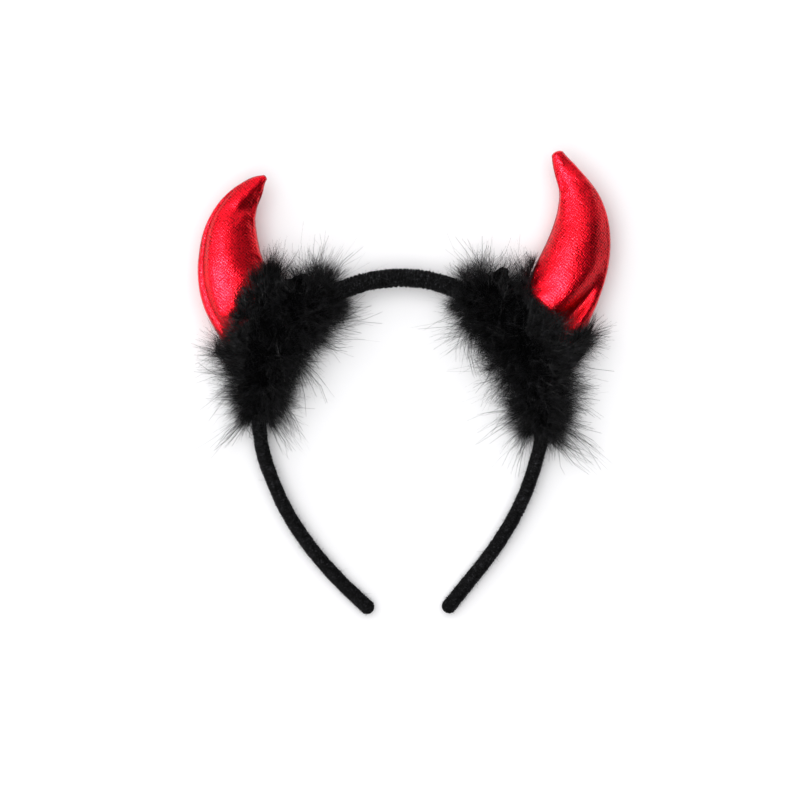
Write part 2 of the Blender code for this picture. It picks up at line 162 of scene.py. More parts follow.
# Reach of the feathers outwards, inwards and over the hoop, as shares of the trim's reach, by share
# of the trim's length from its crown end
LEFT_TRIM_SECTIONS = [
    TrimSection(0.00, 0.44, 0.28, 0.28),
    TrimSection(0.16, 1.02, 0.60, 0.54),
    TrimSection(0.42, 1.04, 0.66, 0.68),
    TrimSection(0.70, 0.90, 0.60, 0.66),
    TrimSection(0.90, 0.62, 0.54, 0.46),
    TrimSection(1.00, 0.32, 0.32, 0.28),
]
RIGHT_TRIM_SECTIONS = [
    TrimSection(0.00, 0.44, 0.32, 0.28),
    TrimSection(0.14, 1.06, 0.70, 0.54),
    TrimSection(0.38, 1.04, 0.84, 0.70),
    TrimSection(0.62, 0.86, 0.86, 0.70),
    TrimSection(0.86, 0.66, 0.66, 0.54),
    TrimSection(1.00, 0.40, 0.42, 0.32),
]

# Plumes that stand out of the trims. along: share of the trim's length. around: degrees round the
# hoop, 0 outwards, 90 upwards. comb: degrees towards the hoop's end. reach: share of the trim's
# reach. spread: how far apart the barbs stand, from 0 to 1.
LEFT_PLUMES = [
    Plume(0.06, 20, -18, 1.00, 0.30),
    Plume(0.12, 8, 6, 1.12, 0.35),
    Plume(0.20, 30, 12, 1.05, 0.50),
    Plume(0.28, 22, 18, 1.00, 0.40),
    Plume(0.78, 5, -38, 1.28, 0.75),
    Plume(0.86, 8, -22, 1.30, 0.80),
    Plume(0.92, 12, 4, 1.12, 0.70),
    Plume(0.97, 10, 52, 0.76, 0.35),
    Plume(1.00, 15, 76, 0.74, 0.35),
    Plume(0.95, 165, 55, 0.74, 0.55),
    Plume(0.80, 172, 40, 0.80, 0.40),
    Plume(0.24, 170, -35, 1.12, 0.45),
    Plume(0.36, 172, -12, 1.18, 0.35),
    Plume(0.50, 168, 8, 0.98, 0.40),
]
RIGHT_PLUMES = [
    Plume(0.10, 14, 4, 0.95, 0.35),
    Plume(0.17, 12, -2, 1.08, 0.22),
    Plume(0.19, 30, 4, 1.10, 0.20),
    Plume(0.26, 24, 2, 1.00, 0.30),
    Plume(0.33, 25, -5, 1.00, 0.25),
    Plume(0.66, 8, -8, 1.22, 0.22),
    Plume(0.80, 10, 14, 0.98, 0.55),
    Plume(0.92, 8, 30, 0.92, 0.60),
    Plume(0.99, 12, 48, 0.86, 0.50),
    Plume(0.97, 168, 40, 0.74, 0.60),
    Plume(0.84, 172, 22, 0.92, 0.60),
    Plume(0.60, 170, 6, 1.12, 0.40),
    Plume(0.40, 172, -16, 1.22, 0.35),
    Plume(0.22, 168, -34, 1.16, 0.35),
]


class HoopSizes(bpy.types.PropertyGroup):
    """Sizes of the hoop and its wound cover"""

    crown_radius: FloatProperty(
        name="Crown Radius", description="Radius of the hoop's centreline at the crown",
        default=0.0596, unit="LENGTH",
    )
    crown_sweep: FloatProperty(
        name="Crown Sweep", description="How far the crown arc turns on each side",
        default=math.radians(105), subtype="ANGLE",
    )
    temple_radius: FloatProperty(
        name="Temple Radius", description="Radius of the arc that follows the crown arc",
        default=0.115, unit="LENGTH",
    )
    temple_sweep: FloatProperty(
        name="Temple Sweep", description="How far the temple arc turns",
        default=math.radians(21), subtype="ANGLE",
    )
    tail_radius: FloatProperty(
        name="Tail Radius", description="Radius of the bend in the hoop's ends",
        default=0.168, unit="LENGTH",
    )
    tail_length: FloatProperty(
        name="Tail Length", description="Length of each end, past the temple arc",
        default=0.0372, unit="LENGTH",
    )
    left_tail_sweep: FloatProperty(
        name="Left Tail Sweep", description="How far the left end bends",
        default=math.radians(9), subtype="ANGLE",
    )
    right_tail_sweep: FloatProperty(
        name="Right Tail Sweep", description="How far the right end bends",
        default=math.radians(4.5), subtype="ANGLE",
    )
    thickness: FloatProperty(
        name="Thickness", description="Thickness of the cover at the crown, seen from above",
        default=0.0074, unit="LENGTH",
    )
    depth: FloatProperty(
        name="Depth", description="Depth of the cover at the crown, seen from the side",
        default=0.0090, unit="LENGTH",
    )
    end_round: FloatProperty(
        name="End Round", description="Length of the rounded ends",
        default=0.0030, unit="LENGTH",
    )
    rib_pitch: FloatProperty(
        name="Rib Pitch", description="Distance from one wound rib to the next at the crown",
        default=0.00145, unit="LENGTH",
    )
    rib_depth: FloatProperty(
        name="Rib Depth", description="Depth of the grooves between the ribs",
        default=0.00082, unit="LENGTH",
    )
    pile: FloatProperty(
        name="Pile", description="Length of the cover's short fibres",
        default=0.00090, unit="LENGTH",
    )
    fibres: IntProperty(
        name="Fibres", description="Number of short fibres that stand out of the cover",
        default=16000, min=0,
    )
    colour: FloatVectorProperty(
        name="Colour", description="Colour of the wound cover",
        default=(0.010, 0.010, 0.011), subtype="COLOR", size=3, min=0, max=1,
    )


class HornSizes(bpy.types.PropertyGroup):
    """Sizes of the stuffed horns"""

    width: FloatProperty(
        name="Width", description="Width of a horn at its fattest", default=0.034, unit="LENGTH",
    )
    depth: FloatProperty(
        name="Depth", description="Depth of a horn at its fattest", default=0.0215, unit="LENGTH",
    )
    left_length: FloatProperty(
        name="Left Length", description="Length of the left horn along its middle",
        default=0.0818, unit="LENGTH",
    )
    right_length: FloatProperty(
        name="Right Length", description="Length of the right horn along its middle",
        default=0.0902, unit="LENGTH",
    )
    left_seat: FloatProperty(
        name="Left Seat", description="Where the left horn sits, from the top of the crown",
        default=math.radians(59.2), subtype="ANGLE",
    )
    right_seat: FloatProperty(
        name="Right Seat", description="Where the right horn sits, from the top of the crown",
        default=math.radians(64.1), subtype="ANGLE",
    )
    seat_cup: FloatProperty(
        name="Seat Cup", description="How far a horn's foot reaches round the hoop",
        default=0.0028, unit="LENGTH",
    )
    stuffing: FloatProperty(
        name="Stuffing", description="Pressure of the stuffing in the cloth simulation",
        default=16.0, min=0,
    )
    slack: FloatProperty(
        name="Slack", description="Share by which the cloth is cut larger than it lies",
        default=0.016, subtype="FACTOR", min=0, max=0.2,
    )
    give: FloatProperty(
        name="Give", description="The most that the stuffing may move the cloth",
        default=0.0008, unit="LENGTH",
    )
    weave: FloatProperty(
        name="Weave", description="Distance from one thread of the foil cloth to the next",
        default=0.00082, unit="LENGTH",
    )
    colour: FloatVectorProperty(
        name="Colour", description="Colour of the foil cloth",
        default=(0.82, 0.0042, 0.016), subtype="COLOR", size=3, min=0, max=1,
    )


class MarabouSizes(bpy.types.PropertyGroup):
    """Sizes of the marabou trims"""

    reach: FloatProperty(
        name="Reach", description="How far the feathers reach from the middle of the hoop",
        default=0.026, unit="LENGTH",
    )
    left_to_crown: FloatProperty(
        name="Left to Crown", description="How far the left trim runs from its horn to the crown",
        default=0.035, unit="LENGTH",
    )
    left_to_temple: FloatProperty(
        name="Left to Temple", description="How far the left trim runs from its horn to the end",
        default=0.028, unit="LENGTH",
    )
    right_to_crown: FloatProperty(
        name="Right to Crown", description="How far the right trim runs from its horn to the crown",
        default=0.038, unit="LENGTH",
    )
    right_to_temple: FloatProperty(
        name="Right to Temple", description="How far the right trim runs from its horn to the end",
        default=0.034, unit="LENGTH",
    )
    barb: FloatProperty(
        name="Barb", description="Width of a barb of down", default=0.00016, unit="LENGTH",
    )
    tufts: IntProperty(
        name="Tufts", description="Number of tufts along the hoop, beside the plumes",
        default=350, min=0,
    )
    collar_tufts: IntProperty(
        name="Collar Tufts", description="Number of tufts round a horn's foot",
        default=330, min=0,
    )
    strays: IntProperty(
        name="Strays", description="Number of pairs of long strands that stand out of a trim",
        default=210, min=0,
    )
    fluff: IntProperty(
        name="Fluff", description="Number of groups of the finest down round a trim",
        default=620, min=0,
    )
    colour: FloatVectorProperty(
        name="Colour", description="Colour of the down",
        default=(0.0075, 0.0075, 0.0085), subtype="COLOR", size=3, min=0, max=1,
    )


class StageSizes(bpy.types.PropertyGroup):
    """The surface, the light and the camera"""

    camera_height: FloatProperty(
        name="Camera Height", description="Height of the camera over the surface",
        default=1.2, unit="LENGTH",
    )
    frame_width: FloatProperty(
        name="Frame Width", description="Width that the camera sees at the headband",
        default=0.336, unit="LENGTH",
    )
    frame_right: FloatProperty(
        name="Frame Right", description="How far right of the crown's centre the camera looks",
        default=-0.00008, unit="LENGTH",
    )
    frame_up: FloatProperty(
        name="Frame Up", description="How far above the crown's centre the camera looks",
        default=0.00821, unit="LENGTH",
    )
    roll: FloatProperty(
        name="Roll", description="How far the headband lies askew in the picture",
        default=math.radians(1.909), subtype="ANGLE",
    )
    key: FloatProperty(
        name="Key Light", description="Strength of the lamp at the upper left",
        default=0.42, min=0,
    )
    glint: FloatProperty(
        name="Glint", description="Strength of the lamp that the foil mirrors at its left",
        default=4.80, min=0,
    )
    tent: FloatProperty(
        name="Tent", description="Brightness of the white tent over the left and the middle",
        default=0.80, min=0,
    )
    fill: FloatProperty(
        name="Fill Light", description="Power of the wide lamp that only lights, and isn't mirrored",
        default=16.2, min=0,
    )
    colour: FloatVectorProperty(
        name="Colour", description="Colour of the surface",
        default=(0.93, 0.93, 0.935), subtype="COLOR", size=3, min=0, max=1,
    )


class HeadbandSettings(bpy.types.PropertyGroup):
    """All sizes and colours of the headband"""

    hoop: PointerProperty(type=HoopSizes, name="Hoop", description="The hoop and its cover")
    horn: PointerProperty(type=HornSizes, name="Horns", description="The stuffed horns")
    down: PointerProperty(type=MarabouSizes, name="Trims", description="The marabou trims")
    stage: PointerProperty(type=StageSizes, name="Stage", description="Surface, light, camera")


# Fixed values of the horns
SEAM_PINCH = 0.22  # how much flatter the cover's curve is at its seams
LOWER_FACE_SHARE = 0.35  # of the upper face's valley and creases
SPINE_STEPS = 210
CLOTH_FRAMES = 20
CLOTH_BENDING = 0.05

# How it lies on the surface
HORN_REST_SHARE = 8 / 21  # where on a horn's length it rests
HORN_PRESS = 0.0006
TAIL_PRESS = 0.0003
CLEARANCE = 0.0003  # between pieces that touch
FLOOR_GAP = 0.00015  # under the down

# Fixed values of the down
FEATHER_TOP = 0.031  # height above which strands are pressed down
FEATHER_PRESS = 0.7  # how much of what stands above it is taken off
SHORTEST_STRAND = 0.004
LONGEST_STRAND = 1.3  # times the reach
EDGE_SLACK = 0.07  # share of the horn's length, past the feathers' edge
LOOSE_SHARE = 0.05  # of the strands that end beyond that
CORE_SHARE = 0.48  # of the feathers' reach
CORE_FILL = 0.05  # what it gains beside the horn

# Strands that leave one foot together
TUFT_STRANDS = 40
STRAY_STRANDS = 2
FLUFF_STRANDS = 24
PLUME_STRANDS = 46
COLLAR_STRANDS = 24

# Directions of the light, and how broad the lamps look in degrees
KEY_FROM = (-0.55, 0.45, 0.70)
KEY_BREADTH = 45
GLINT_FROM = (-0.52, -0.14, 0.84)
GLINT_BREADTH = 14
ROOM_AT = (0.84, -0.54, 0.0)  # the dim side, where the tent ends

# Brightness of the tent, by share of the way from its far side to the dim side
TENT_STOPS = [(0.0, 0.25), (0.06, 0.50), (0.15, 1.0), (0.55, 1.0), (0.72, 0.12), (1.0, 0.05)]
TENT_TINT = (0.985, 0.98, 1.0)

# Radians
ABOUT_A_TURN = 6.28


def smooth_column(rows, column, shares):
    """A table's column at shares, on a smooth curve through its rows."""
    along = np.array([row.along for row in rows])
    value = np.array([getattr(row, column) for row in rows], float)
    row_numbers = np.arange(len(rows))
    low = np.maximum(row_numbers - 1, 0)
    high = np.minimum(row_numbers + 1, len(rows) - 1)
    slope = (value[high] - value[low]) / (along[high] - along[low])
    shares = np.clip(shares, along[0], along[-1])
    i = np.clip(np.searchsorted(along, shares, side="right") - 1, 0, len(rows) - 2)
    step = along[i + 1] - along[i]
    t = (shares - along[i]) / step
    return (
        value[i] * (2 * t**3 - 3 * t**2 + 1)
        + slope[i] * step * (t**3 - 2 * t**2 + t)
        + value[i + 1] * (3 * t**2 - 2 * t**3)
        + slope[i + 1] * step * (t**3 - t**2)
    )


def unit(vectors):
    """The vectors at length one."""
    return vectors / np.maximum(np.linalg.norm(vectors, axis=-1, keepdims=True), 1e-12)


def dot(a, b):
    """Dot products of vectors."""
    return (a * b).sum(-1)


def ridge(away, middle, breadth):
    """A rounded ridge of height one: how high it is at distances from an edge."""
    return np.exp(-(((away - middle) / breadth) ** 2))


def upward(height):
    """Vectors along +Z of the given lengths."""
    height = np.asarray(height, float)
    return np.stack([np.zeros_like(height), np.zeros_like(height), height], -1)


def waves(points, seed, pitch):
    """Smooth noise, mostly between -1 and 1, at points: a few sine waves of random directions."""
    count = 7
    chance = np.random.default_rng(seed)
    total = np.zeros(points.shape[:-1])
    for _ in range(count):
        direction = unit(chance.normal(size=3))
        length = pitch * chance.uniform(0.7, 1.6)
        total += np.sin(2 * math.pi * dot(points, direction) / length + chance.uniform(0, ABOUT_A_TURN))
    return total / math.sqrt(count)


def hoop_length(hoop):
    """Half of the hoop, from the top of the crown to its end."""
    arcs = hoop.crown_radius * hoop.crown_sweep + hoop.temple_radius * hoop.temple_sweep
    return arcs + hoop.tail_length


def hoop_frames(hoop, distances, side):
    """Centres, outward normals and tangents towards the hoop's end, at distances from the crown."""
    left = np.array(distances, float)
    x = np.zeros_like(left)
    y = np.full_like(left, hoop.crown_radius)
    heading = np.zeros_like(left)
    tail_sweep = hoop.left_tail_sweep if side < 0 else hoop.right_tail_sweep
    for radius, sweep in (
        (hoop.crown_radius, hoop.crown_sweep),
        (hoop.temple_radius, hoop.temple_sweep),
        (hoop.tail_radius, tail_sweep),
    ):
        turn = np.minimum(left / radius, sweep)
        x = x + radius * (np.sin(heading + turn) - np.sin(heading))
        y = y + radius * (np.cos(heading + turn) - np.cos(heading))
        heading = heading + turn
        left = left - radius * turn
    x = x + left * np.cos(heading)
    y = y - left * np.sin(heading)
    flat = np.zeros_like(x)
    centres = np.stack([side * x, y, flat], -1)
    normals = np.stack([side * np.sin(heading), np.cos(heading), flat], -1)
    tangents = np.stack([side * np.cos(heading), -np.sin(heading), flat], -1)
    return centres, normals, tangents


def hoop_half_sizes(hoop, distances):
    """Half thickness and half depth of the cover at distances from the crown."""
    share = np.asarray(distances, float) / hoop_length(hoop)
    half_thickness = hoop.thickness / 2 * smooth_column(HOOP_SECTIONS, "thickness", share)
    half_depth = hoop.depth / 2 * smooth_column(HOOP_SECTIONS, "depth", share)
    return half_thickness, half_depth


def horn_plans(horn):
    """What sets the left horn and the right one apart."""
    left = HornPlan(
        name="left_horn", side=-1, length=horn.left_length, seat=horn.left_seat,
        channel_breadth=0.10, sections=LEFT_HORN_SECTIONS, folds=LEFT_HORN_FOLDS,
        feather_edge=LEFT_FEATHER_EDGE,
    )
    right = HornPlan(
        name="right_horn", side=1, length=horn.right_length, seat=horn.right_seat,
        channel_breadth=0.24, sections=RIGHT_HORN_SECTIONS, folds=RIGHT_HORN_FOLDS,
        feather_edge=RIGHT_FEATHER_EDGE,
    )
    return left, right


def horn_spine(hoop, horn, plan):
    """Shares, centres and outward lines of a horn's sections, from its seat in the cover."""
    seat_distance = hoop.crown_radius * plan.seat
    centre, normal, _ = hoop_frames(hoop, seat_distance, plan.side)
    seat = centre + normal * (hoop_half_sizes(hoop, seat_distance)[0] - horn.seat_cup)
    shares = np.linspace(0, 1, SPINE_STEPS + 1)
    middles = (shares[1:] + shares[:-1]) / 2
    lean = np.radians(smooth_column(plan.sections, "lean", middles))
    steps = np.stack([plan.side * np.sin(lean), np.cos(lean), np.zeros_like(lean)], -1)
    path = np.vstack([np.zeros(3), np.cumsum(steps, 0)]) * plan.length / SPINE_STEPS
    slant = np.radians(smooth_column(plan.sections, "lean", shares))
    turn = smooth_column(plan.sections, "turn", shares)
    slant = slant + turn * (plan.seat - math.radians(plan.sections[0].lean))
    across = np.stack([plan.side * np.cos(slant), -np.sin(slant), np.zeros_like(slant)], -1)
    return shares, seat + path, across


def along_spine(spine, shares):
    """Centres and outward lines at any shares of the horn's length."""
    steps, centres, across = spine
    centre = np.stack([np.interp(shares, steps, centres[:, k]) for k in range(3)], -1)
    line = np.stack([np.interp(shares, steps, across[:, k]) for k in range(3)], -1)
    return centre, unit(line)


def towards_tip(across, side):
    """The direction in the hoop's plane that is square to a section's outward line."""
    return np.stack([-across[..., 1], across[..., 0], np.zeros_like(across[..., 0])], -1) * side


def horn_half_sizes(horn, plan, shares):
    """Half width and half depth of a horn at shares of its length."""
    half_width = horn.width / 2 * smooth_column(plan.sections, "width", shares)
    half_depth = horn.depth / 2 * smooth_column(plan.sections, "depth", shares)
    return half_width, half_depth


def fold_depth(horn, plan, shares, across):
    """How far the creases press the cover in at places on it."""
    half_width = horn.width / 2
    x, y = shares * plan.length, across * half_width
    pressed = np.zeros_like(x)
    for fold in plan.folds:
        start = np.array([fold.along * plan.length, fold.across * half_width])
        run = np.array([fold.to_along * plan.length, fold.to_across * half_width]) - start
        t = np.clip(((x - start[0]) * run[0] + (y - start[1]) * run[1]) / (run @ run), 0, 1)
        away = np.hypot(x - start[0] - t * run[0], y - start[1] - t * run[1])
        fade = 1 - 0.45 * (2 * t - 1) ** 2
        breadth = fold.breadth * horn.width
        pressed += fold.depth * horn.depth * fade * ridge(away, 0, breadth)
    return pressed


def horn_skin(hoop, horn, plan, shares, angles, grow=0.0):
    """Points of a horn's cover at shares of its length and angles round it, on a smooth skin."""
    spine = horn_spine(hoop, horn, plan)
    centre, across = along_spine(spine, shares)
    half_width, half_depth = horn_half_sizes(horn, plan, shares)
    u, v = np.cos(angles), np.sin(angles)
    channel = smooth_column(plan.sections, "channel", shares)
    channel_at = smooth_column(plan.sections, "channel_at", shares)
    height = (half_depth + grow) * v * (1 - SEAM_PINCH * u * u)
    valley = channel * ridge(u, channel_at, plan.channel_breadth)
    height = height * (1 - np.where(v > 0, 1, LOWER_FACE_SHARE) * valley)
    return centre + across * ((half_width + grow) * u)[..., None] + upward(height)


def laid_flat(hoop, horn):
    """The hoop's plane to the world: leans the plane and sets it down on the surface."""
    rest_y = 0.0
    for plan in horn_plans(horn):
        spine = horn_spine(hoop, horn, plan)
        rest_y += along_spine(spine, np.array(HORN_REST_SHARE))[0][1] / 2
    tail_distance = hoop_length(hoop) - hoop.end_round
    tail_y = sum(hoop_frames(hoop, tail_distance, side)[0][1] for side in (-1, 1)) / 2
    horn_height = horn.depth / 2 - HORN_PRESS
    tail_height = hoop_half_sizes(hoop, tail_distance)[1] - TAIL_PRESS
    angle = math.asin((horn_height - tail_height) / (rest_y - tail_y))
    lift = tail_height - tail_y * math.sin(angle)
    return Matrix.Translation((0, 0, lift)) @ Matrix.Rotation(angle, 4, "X")


def to_world(points, laid):
    """Points of the hoop's plane in the world."""
    turn = np.array(laid.to_3x3())
    return points @ turn.T + np.array(laid.translation)


def out_of_hoop(hoop, points, gap):
    """Points in the crown's cover pushed out to its surface."""
    level = np.hypot(points[..., 0], points[..., 1])
    distance = hoop.crown_radius * np.abs(np.arctan2(points[..., 0], points[..., 1]))
    half_thickness, half_depth = hoop_half_sizes(hoop, distance)
    out = level - hoop.crown_radius
    e = np.sqrt((out / (half_thickness + gap)) ** 2 + (points[..., 2] / (half_depth + gap)) ** 2)
    grow = np.maximum(1 / np.maximum(e, 1e-6), 1)
    spread = (hoop.crown_radius + out * grow) / np.maximum(level, 1e-9)
    moved = points * spread[..., None]
    moved[..., 2] = points[..., 2] * grow
    return np.where((grow > 1)[..., None], moved, points)


def horn_places(hoop, horn, plan, points):
    """The horn's share, middle and outward line at each point, and whether that is past its foot."""
    steps, centres, across = (column[::3] for column in horn_spine(hoop, horn, plan))
    nearest = np.zeros(len(points), int)
    block = 60000
    for first in range(0, len(points), block):
        away = points[first : first + block, None, :2] - centres[None, :, :2]
        nearest[first : first + block] = (away**2).sum(-1).argmin(1)
    share, centre, line = steps[nearest], centres[nearest], across[nearest]
    behind = dot(points - centre, towards_tip(line, plan.side)) < -CLEARANCE
    return share, centre, line, (nearest == 0) & behind


def out_of_horn(hoop, horn, plan, points, gap, spread=1.0):
    """Points inside a horn pushed out to its cover; spread above one pushes them on from it."""
    flat = points.reshape(-1, 3)
    share, centre, line, past_foot = horn_places(hoop, horn, plan, flat)
    half_width, half_depth = horn_half_sizes(horn, plan, share)
    u = dot(flat - centre, line)
    e = np.hypot(u / (half_width + gap), flat[:, 2] / (half_depth + gap))
    grow = spread / np.maximum(e, 0.08)
    out = flat + line * (u * (grow - 1))[:, None]
    out[:, 2] = flat[:, 2] * grow
    inside = (e < spread) & ~past_foot
    return np.where(inside[:, None], out, flat).reshape(points.shape)


def hides_foil(hoop, horn, plan, paths, allowed):
    """Which paths end over a horn, further up it than its feathers' edge and what is allowed."""
    tips = paths[:, -1]
    share, centre, line, past_foot = horn_places(hoop, horn, plan, tips)
    across = dot(tips - centre, line) / horn_half_sizes(horn, plan, share)[0]
    edge = smooth_column(plan.feather_edge, "share", np.clip(across, -1, 1))
    return (np.abs(across) < 1.05) & ~past_foot & (share > edge + allowed)


def over_floor(points, gap=FLOOR_GAP):
    """World points lifted to lie on the surface."""
    lifted = points.copy()
    lifted[..., 2] = np.maximum(lifted[..., 2], gap)
    return lifted


def linked(name, data):
    """An object of a mesh, a lamp or a camera, in the scene."""
    made = bpy.data.objects.new(name, data)
    bpy.context.scene.collection.objects.link(made)
    return made


def mesh_piece(name, points, faces, finish):
    """A smooth mesh object of world points, with its finish."""
    mesh = bpy.data.meshes.new(name)
    mesh.from_pydata(points.tolist(), [], faces)
    mesh.polygons.foreach_set("use_smooth", [True] * len(mesh.polygons))
    mesh.materials.append(finish)
    mesh.update()
    return linked(name, mesh)


def mark_points(piece, name, values):
    """Stores a value for each point of a closed skin, and 0 at the two points that close it."""
    mark = piece.data.attributes.new(name, "FLOAT", "POINT")
    mark.data.foreach_set("value", np.append(values.reshape(-1), [0, 0]).astype(np.float32))


def tube_faces(rows, columns, closed_rows=False):
    """Quads of a skin of so many rings, each of so many points."""
    faces = []
    for i in range(rows if closed_rows else rows - 1):
        near, far = i * columns, (i + 1) % rows * columns
        for j in range(columns):
            k = (j + 1) % columns
            faces.append((near + j, near + k, far + k, far + j))
    return faces


def ribbons(name, paths, widths, rolls, finish):
    """Thin ribbons along paths of as many points each, as one mesh."""
    count, points = paths.shape[:2]
    ahead = unit(np.gradient(paths, axis=1))
    level = unit(np.cross(ahead, np.array([0.0, 0.0, 1.0])) + np.array([1e-5, 0, 0]))
    upright = np.cross(level, ahead)
    sideways = level * np.cos(rolls)[:, None, None] + upright * np.sin(rolls)[:, None, None]
    half = sideways * widths[..., None] / 2
    rims = np.stack([paths - half, paths + half], 2).reshape(-1, 3)
    row = np.arange(count)[:, None] * points + np.arange(points - 1)[None, :]
    a = (row * 2).reshape(-1)
    quads = np.stack([a, a + 1, a + 3, a + 2], -1)
    mesh = bpy.data.meshes.new(name)
    mesh.vertices.add(len(rims))
    mesh.vertices.foreach_set("co", rims.astype(np.float32).reshape(-1))
    mesh.loops.add(quads.size)
    mesh.loops.foreach_set("vertex_index", quads.reshape(-1).astype(np.int32))
    mesh.polygons.add(len(quads))
    mesh.polygons.foreach_set("loop_start", (np.arange(len(quads)) * 4).astype(np.int32))
    mesh.polygons.foreach_set("use_smooth", [True] * len(quads))
    mesh.materials.append(finish)
    mesh.update(calc_edges=True)
    return linked(name, mesh)


class Finish:
    """A Principled material that is built up node by node."""

    def __init__(self, name, **sockets):
        self.made = bpy.data.materials.new(name)
        self.made.use_nodes = True
        self.tree = self.made.node_tree
        self.shader = self.tree.nodes["Principled BSDF"]
        for socket, value in sockets.items():
            title = socket.replace("_", " ").title().replace("Ior", "IOR")
            self.shader.inputs[title].default_value = value
        self.place = self.node("ShaderNodeTexCoord").outputs["Object"]

    def node(self, kind, **settings):
        """A new node with its inputs and settings by name."""
        made = self.tree.nodes.new(kind)
        for name, value in settings.items():
            if name in made.inputs:
                made.inputs[name].default_value = value
            else:
                setattr(made, name, value)
        return made

    def link(self, out, socket):
        """Links an output to a socket."""
        self.tree.links.new(out, socket)

    def noise(self, scale, detail, roughness=0.5):
        """Cloudy noise over the object."""
        made = self.node("ShaderNodeTexNoise", Scale=scale, Detail=detail, Roughness=roughness)
        self.link(self.place, made.inputs["Vector"])
        return made.outputs["Fac"]

    def turned(self, angle):
        """The object's coordinates, turned about +Z."""
        made = self.node("ShaderNodeMapping", Rotation=(0, 0, angle))
        self.link(self.place, made.inputs["Vector"])
        return made.outputs["Vector"]

    def bands(self, pitch, angle, distortion):
        """Bands across the surface, a pitch apart."""
        radians_at_scale_one = 20
        scale = 2 * math.pi / pitch / radians_at_scale_one
        made = self.node("ShaderNodeTexWave", Scale=scale, Distortion=distortion, Detail=1.0)
        made.inputs["Detail Scale"].default_value = 2.0
        self.link(self.turned(angle), made.inputs["Vector"])
        return made.outputs["Fac"]

    def maths(self, operation, a, b):
        """Two numbers or outputs put together."""
        made = self.node("ShaderNodeMath", operation=operation)
        for value, socket in zip((a, b), made.inputs):
            if isinstance(value, (int, float)):
                socket.default_value = value
            else:
                self.link(value, socket)
        return made.outputs[0]

    def weighed(self, *parts):
        """The sum of outputs, each times its weight."""
        first, *rest = (self.maths("MULTIPLY", out, weight) for out, weight in parts)
        for product in rest:
            first = self.maths("ADD", first, product)
        return first

    def towards(self, out, colour, share):
        """A colour output mixed with a fixed colour, by a share."""
        made = self.node("ShaderNodeMix", data_type="RGBA")
        share_socket, from_socket, to_socket = (made.inputs[k] for k in (0, 6, 7))
        to_socket.default_value = (*colour, 1.0)
        self.link(share, share_socket)
        self.link(out, from_socket)
        return made.outputs[2]

    def ramp(self, fac, stops):
        """Colours along a factor, given as stops of a position and a colour."""
        made = self.node("ShaderNodeValToRGB")
        while len(made.color_ramp.elements) < len(stops):
            made.color_ramp.elements.new(0.5)
        for element, (position, colour) in zip(made.color_ramp.elements, stops):
            element.position = position
            element.color = (*colour, 1.0)
        self.link(fac, made.inputs["Fac"])
        return made.outputs["Color"]

    def span(self, fac, low, high):
        """A factor from 0 to 1 spread from low to high."""
        made = self.node("ShaderNodeMapRange")
        made.inputs["To Min"].default_value = low
        made.inputs["To Max"].default_value = high
        self.link(fac, made.inputs["Value"])
        return made.outputs["Result"]

    def attribute(self, name):
        """A value that the mesh stores for each point."""
        return self.node("ShaderNodeAttribute", attribute_name=name).outputs["Fac"]

    def bump(self, height, distance, strength):
        """Fine relief."""
        made = self.node("ShaderNodeBump", Distance=distance, Strength=strength)
        self.link(height, made.inputs["Height"])
        self.bumped = made.outputs["Normal"]
        self.link(self.bumped, self.shader.inputs["Normal"])

    def set(self, socket, out):
        """Links an output to a socket of the shader, by name."""
        self.link(out, self.shader.inputs[socket])


def shade(colour, factor):
    """A colour made darker or lighter, up to white."""
    return tuple(min(part * factor, 1.0) for part in colour)


def chenille_finish(hoop):
    """Matt black wound chenille: painted shade in its pits and painted light on its tufts, with a dull
    line on its seam.
    """
    base = tuple(hoop.colour)
    made = Finish("black_chenille", roughness=0.85, specular_ior_level=0.07)
    tufts = made.noise(1650.0, 2.0, roughness=0.6)
    pits = made.noise(620.0, 1.0)
    broad = made.noise(140.0, 2.0)
    tone = made.weighed((tufts, 0.62), (pits, 0.28), (broad, 0.10))
    # Painted shade and light: the colour follows the bump, darkest in the pits and lightest at the
    # raised tips of the tufts
    painted_pit_shade, low, knot, tip = (shade(base, part) for part in (0.02, 0.22, 0.8, 3.8))
    colour = made.ramp(tone, [(0.42, painted_pit_shade), (0.50, low), (0.57, knot), (0.67, tip)])
    seam_colour = (0.030, 0.024, 0.029)
    made.set("Base Color", made.towards(colour, seam_colour, made.attribute("seam")))
    made.set("Roughness", made.span(tufts, 0.75, 0.95))
    made.bump(tufts, 0.00020, 0.9)
    return made.made


def fibre_finish(name, base, roughness, gloss):
    """Fine black fibres, each a little lighter or darker than the next."""
    made = Finish(name, roughness=roughness, specular_ior_level=gloss)
    dark, middle, light = (shade(base, part) for part in (0.1, 0.6, 3.5))
    tone = made.noise(420.0, 2.0)
    made.set("Base Color", made.ramp(tone, [(0.35, dark), (0.56, middle), (0.72, light)]))
    made.set("Roughness", made.span(made.noise(900.0, 1.0), roughness - 0.1, roughness + 0.15))
    return made.made


def down_core_finish(base):
    """The dense, dull mass of down between the feathers, with painted shade making it darker than the
    down itself.
    """
    made = Finish("black_marabou_core", roughness=0.97, specular_ior_level=0.01)
    fluff = made.noise(700.0, 4.0, roughness=0.7)
    # Painted shade: all three tones are darker than the down's colour, for the shade deep in the dense
    # mass
    dark, middle, light = (shade(base, part) for part in (0.05, 0.15, 0.4))
    made.set("Base Color", made.ramp(fluff, [(0.35, dark), (0.6, middle), (0.8, light)]))
    made.bump(fluff, 0.0006, 1.0)
    return made.made


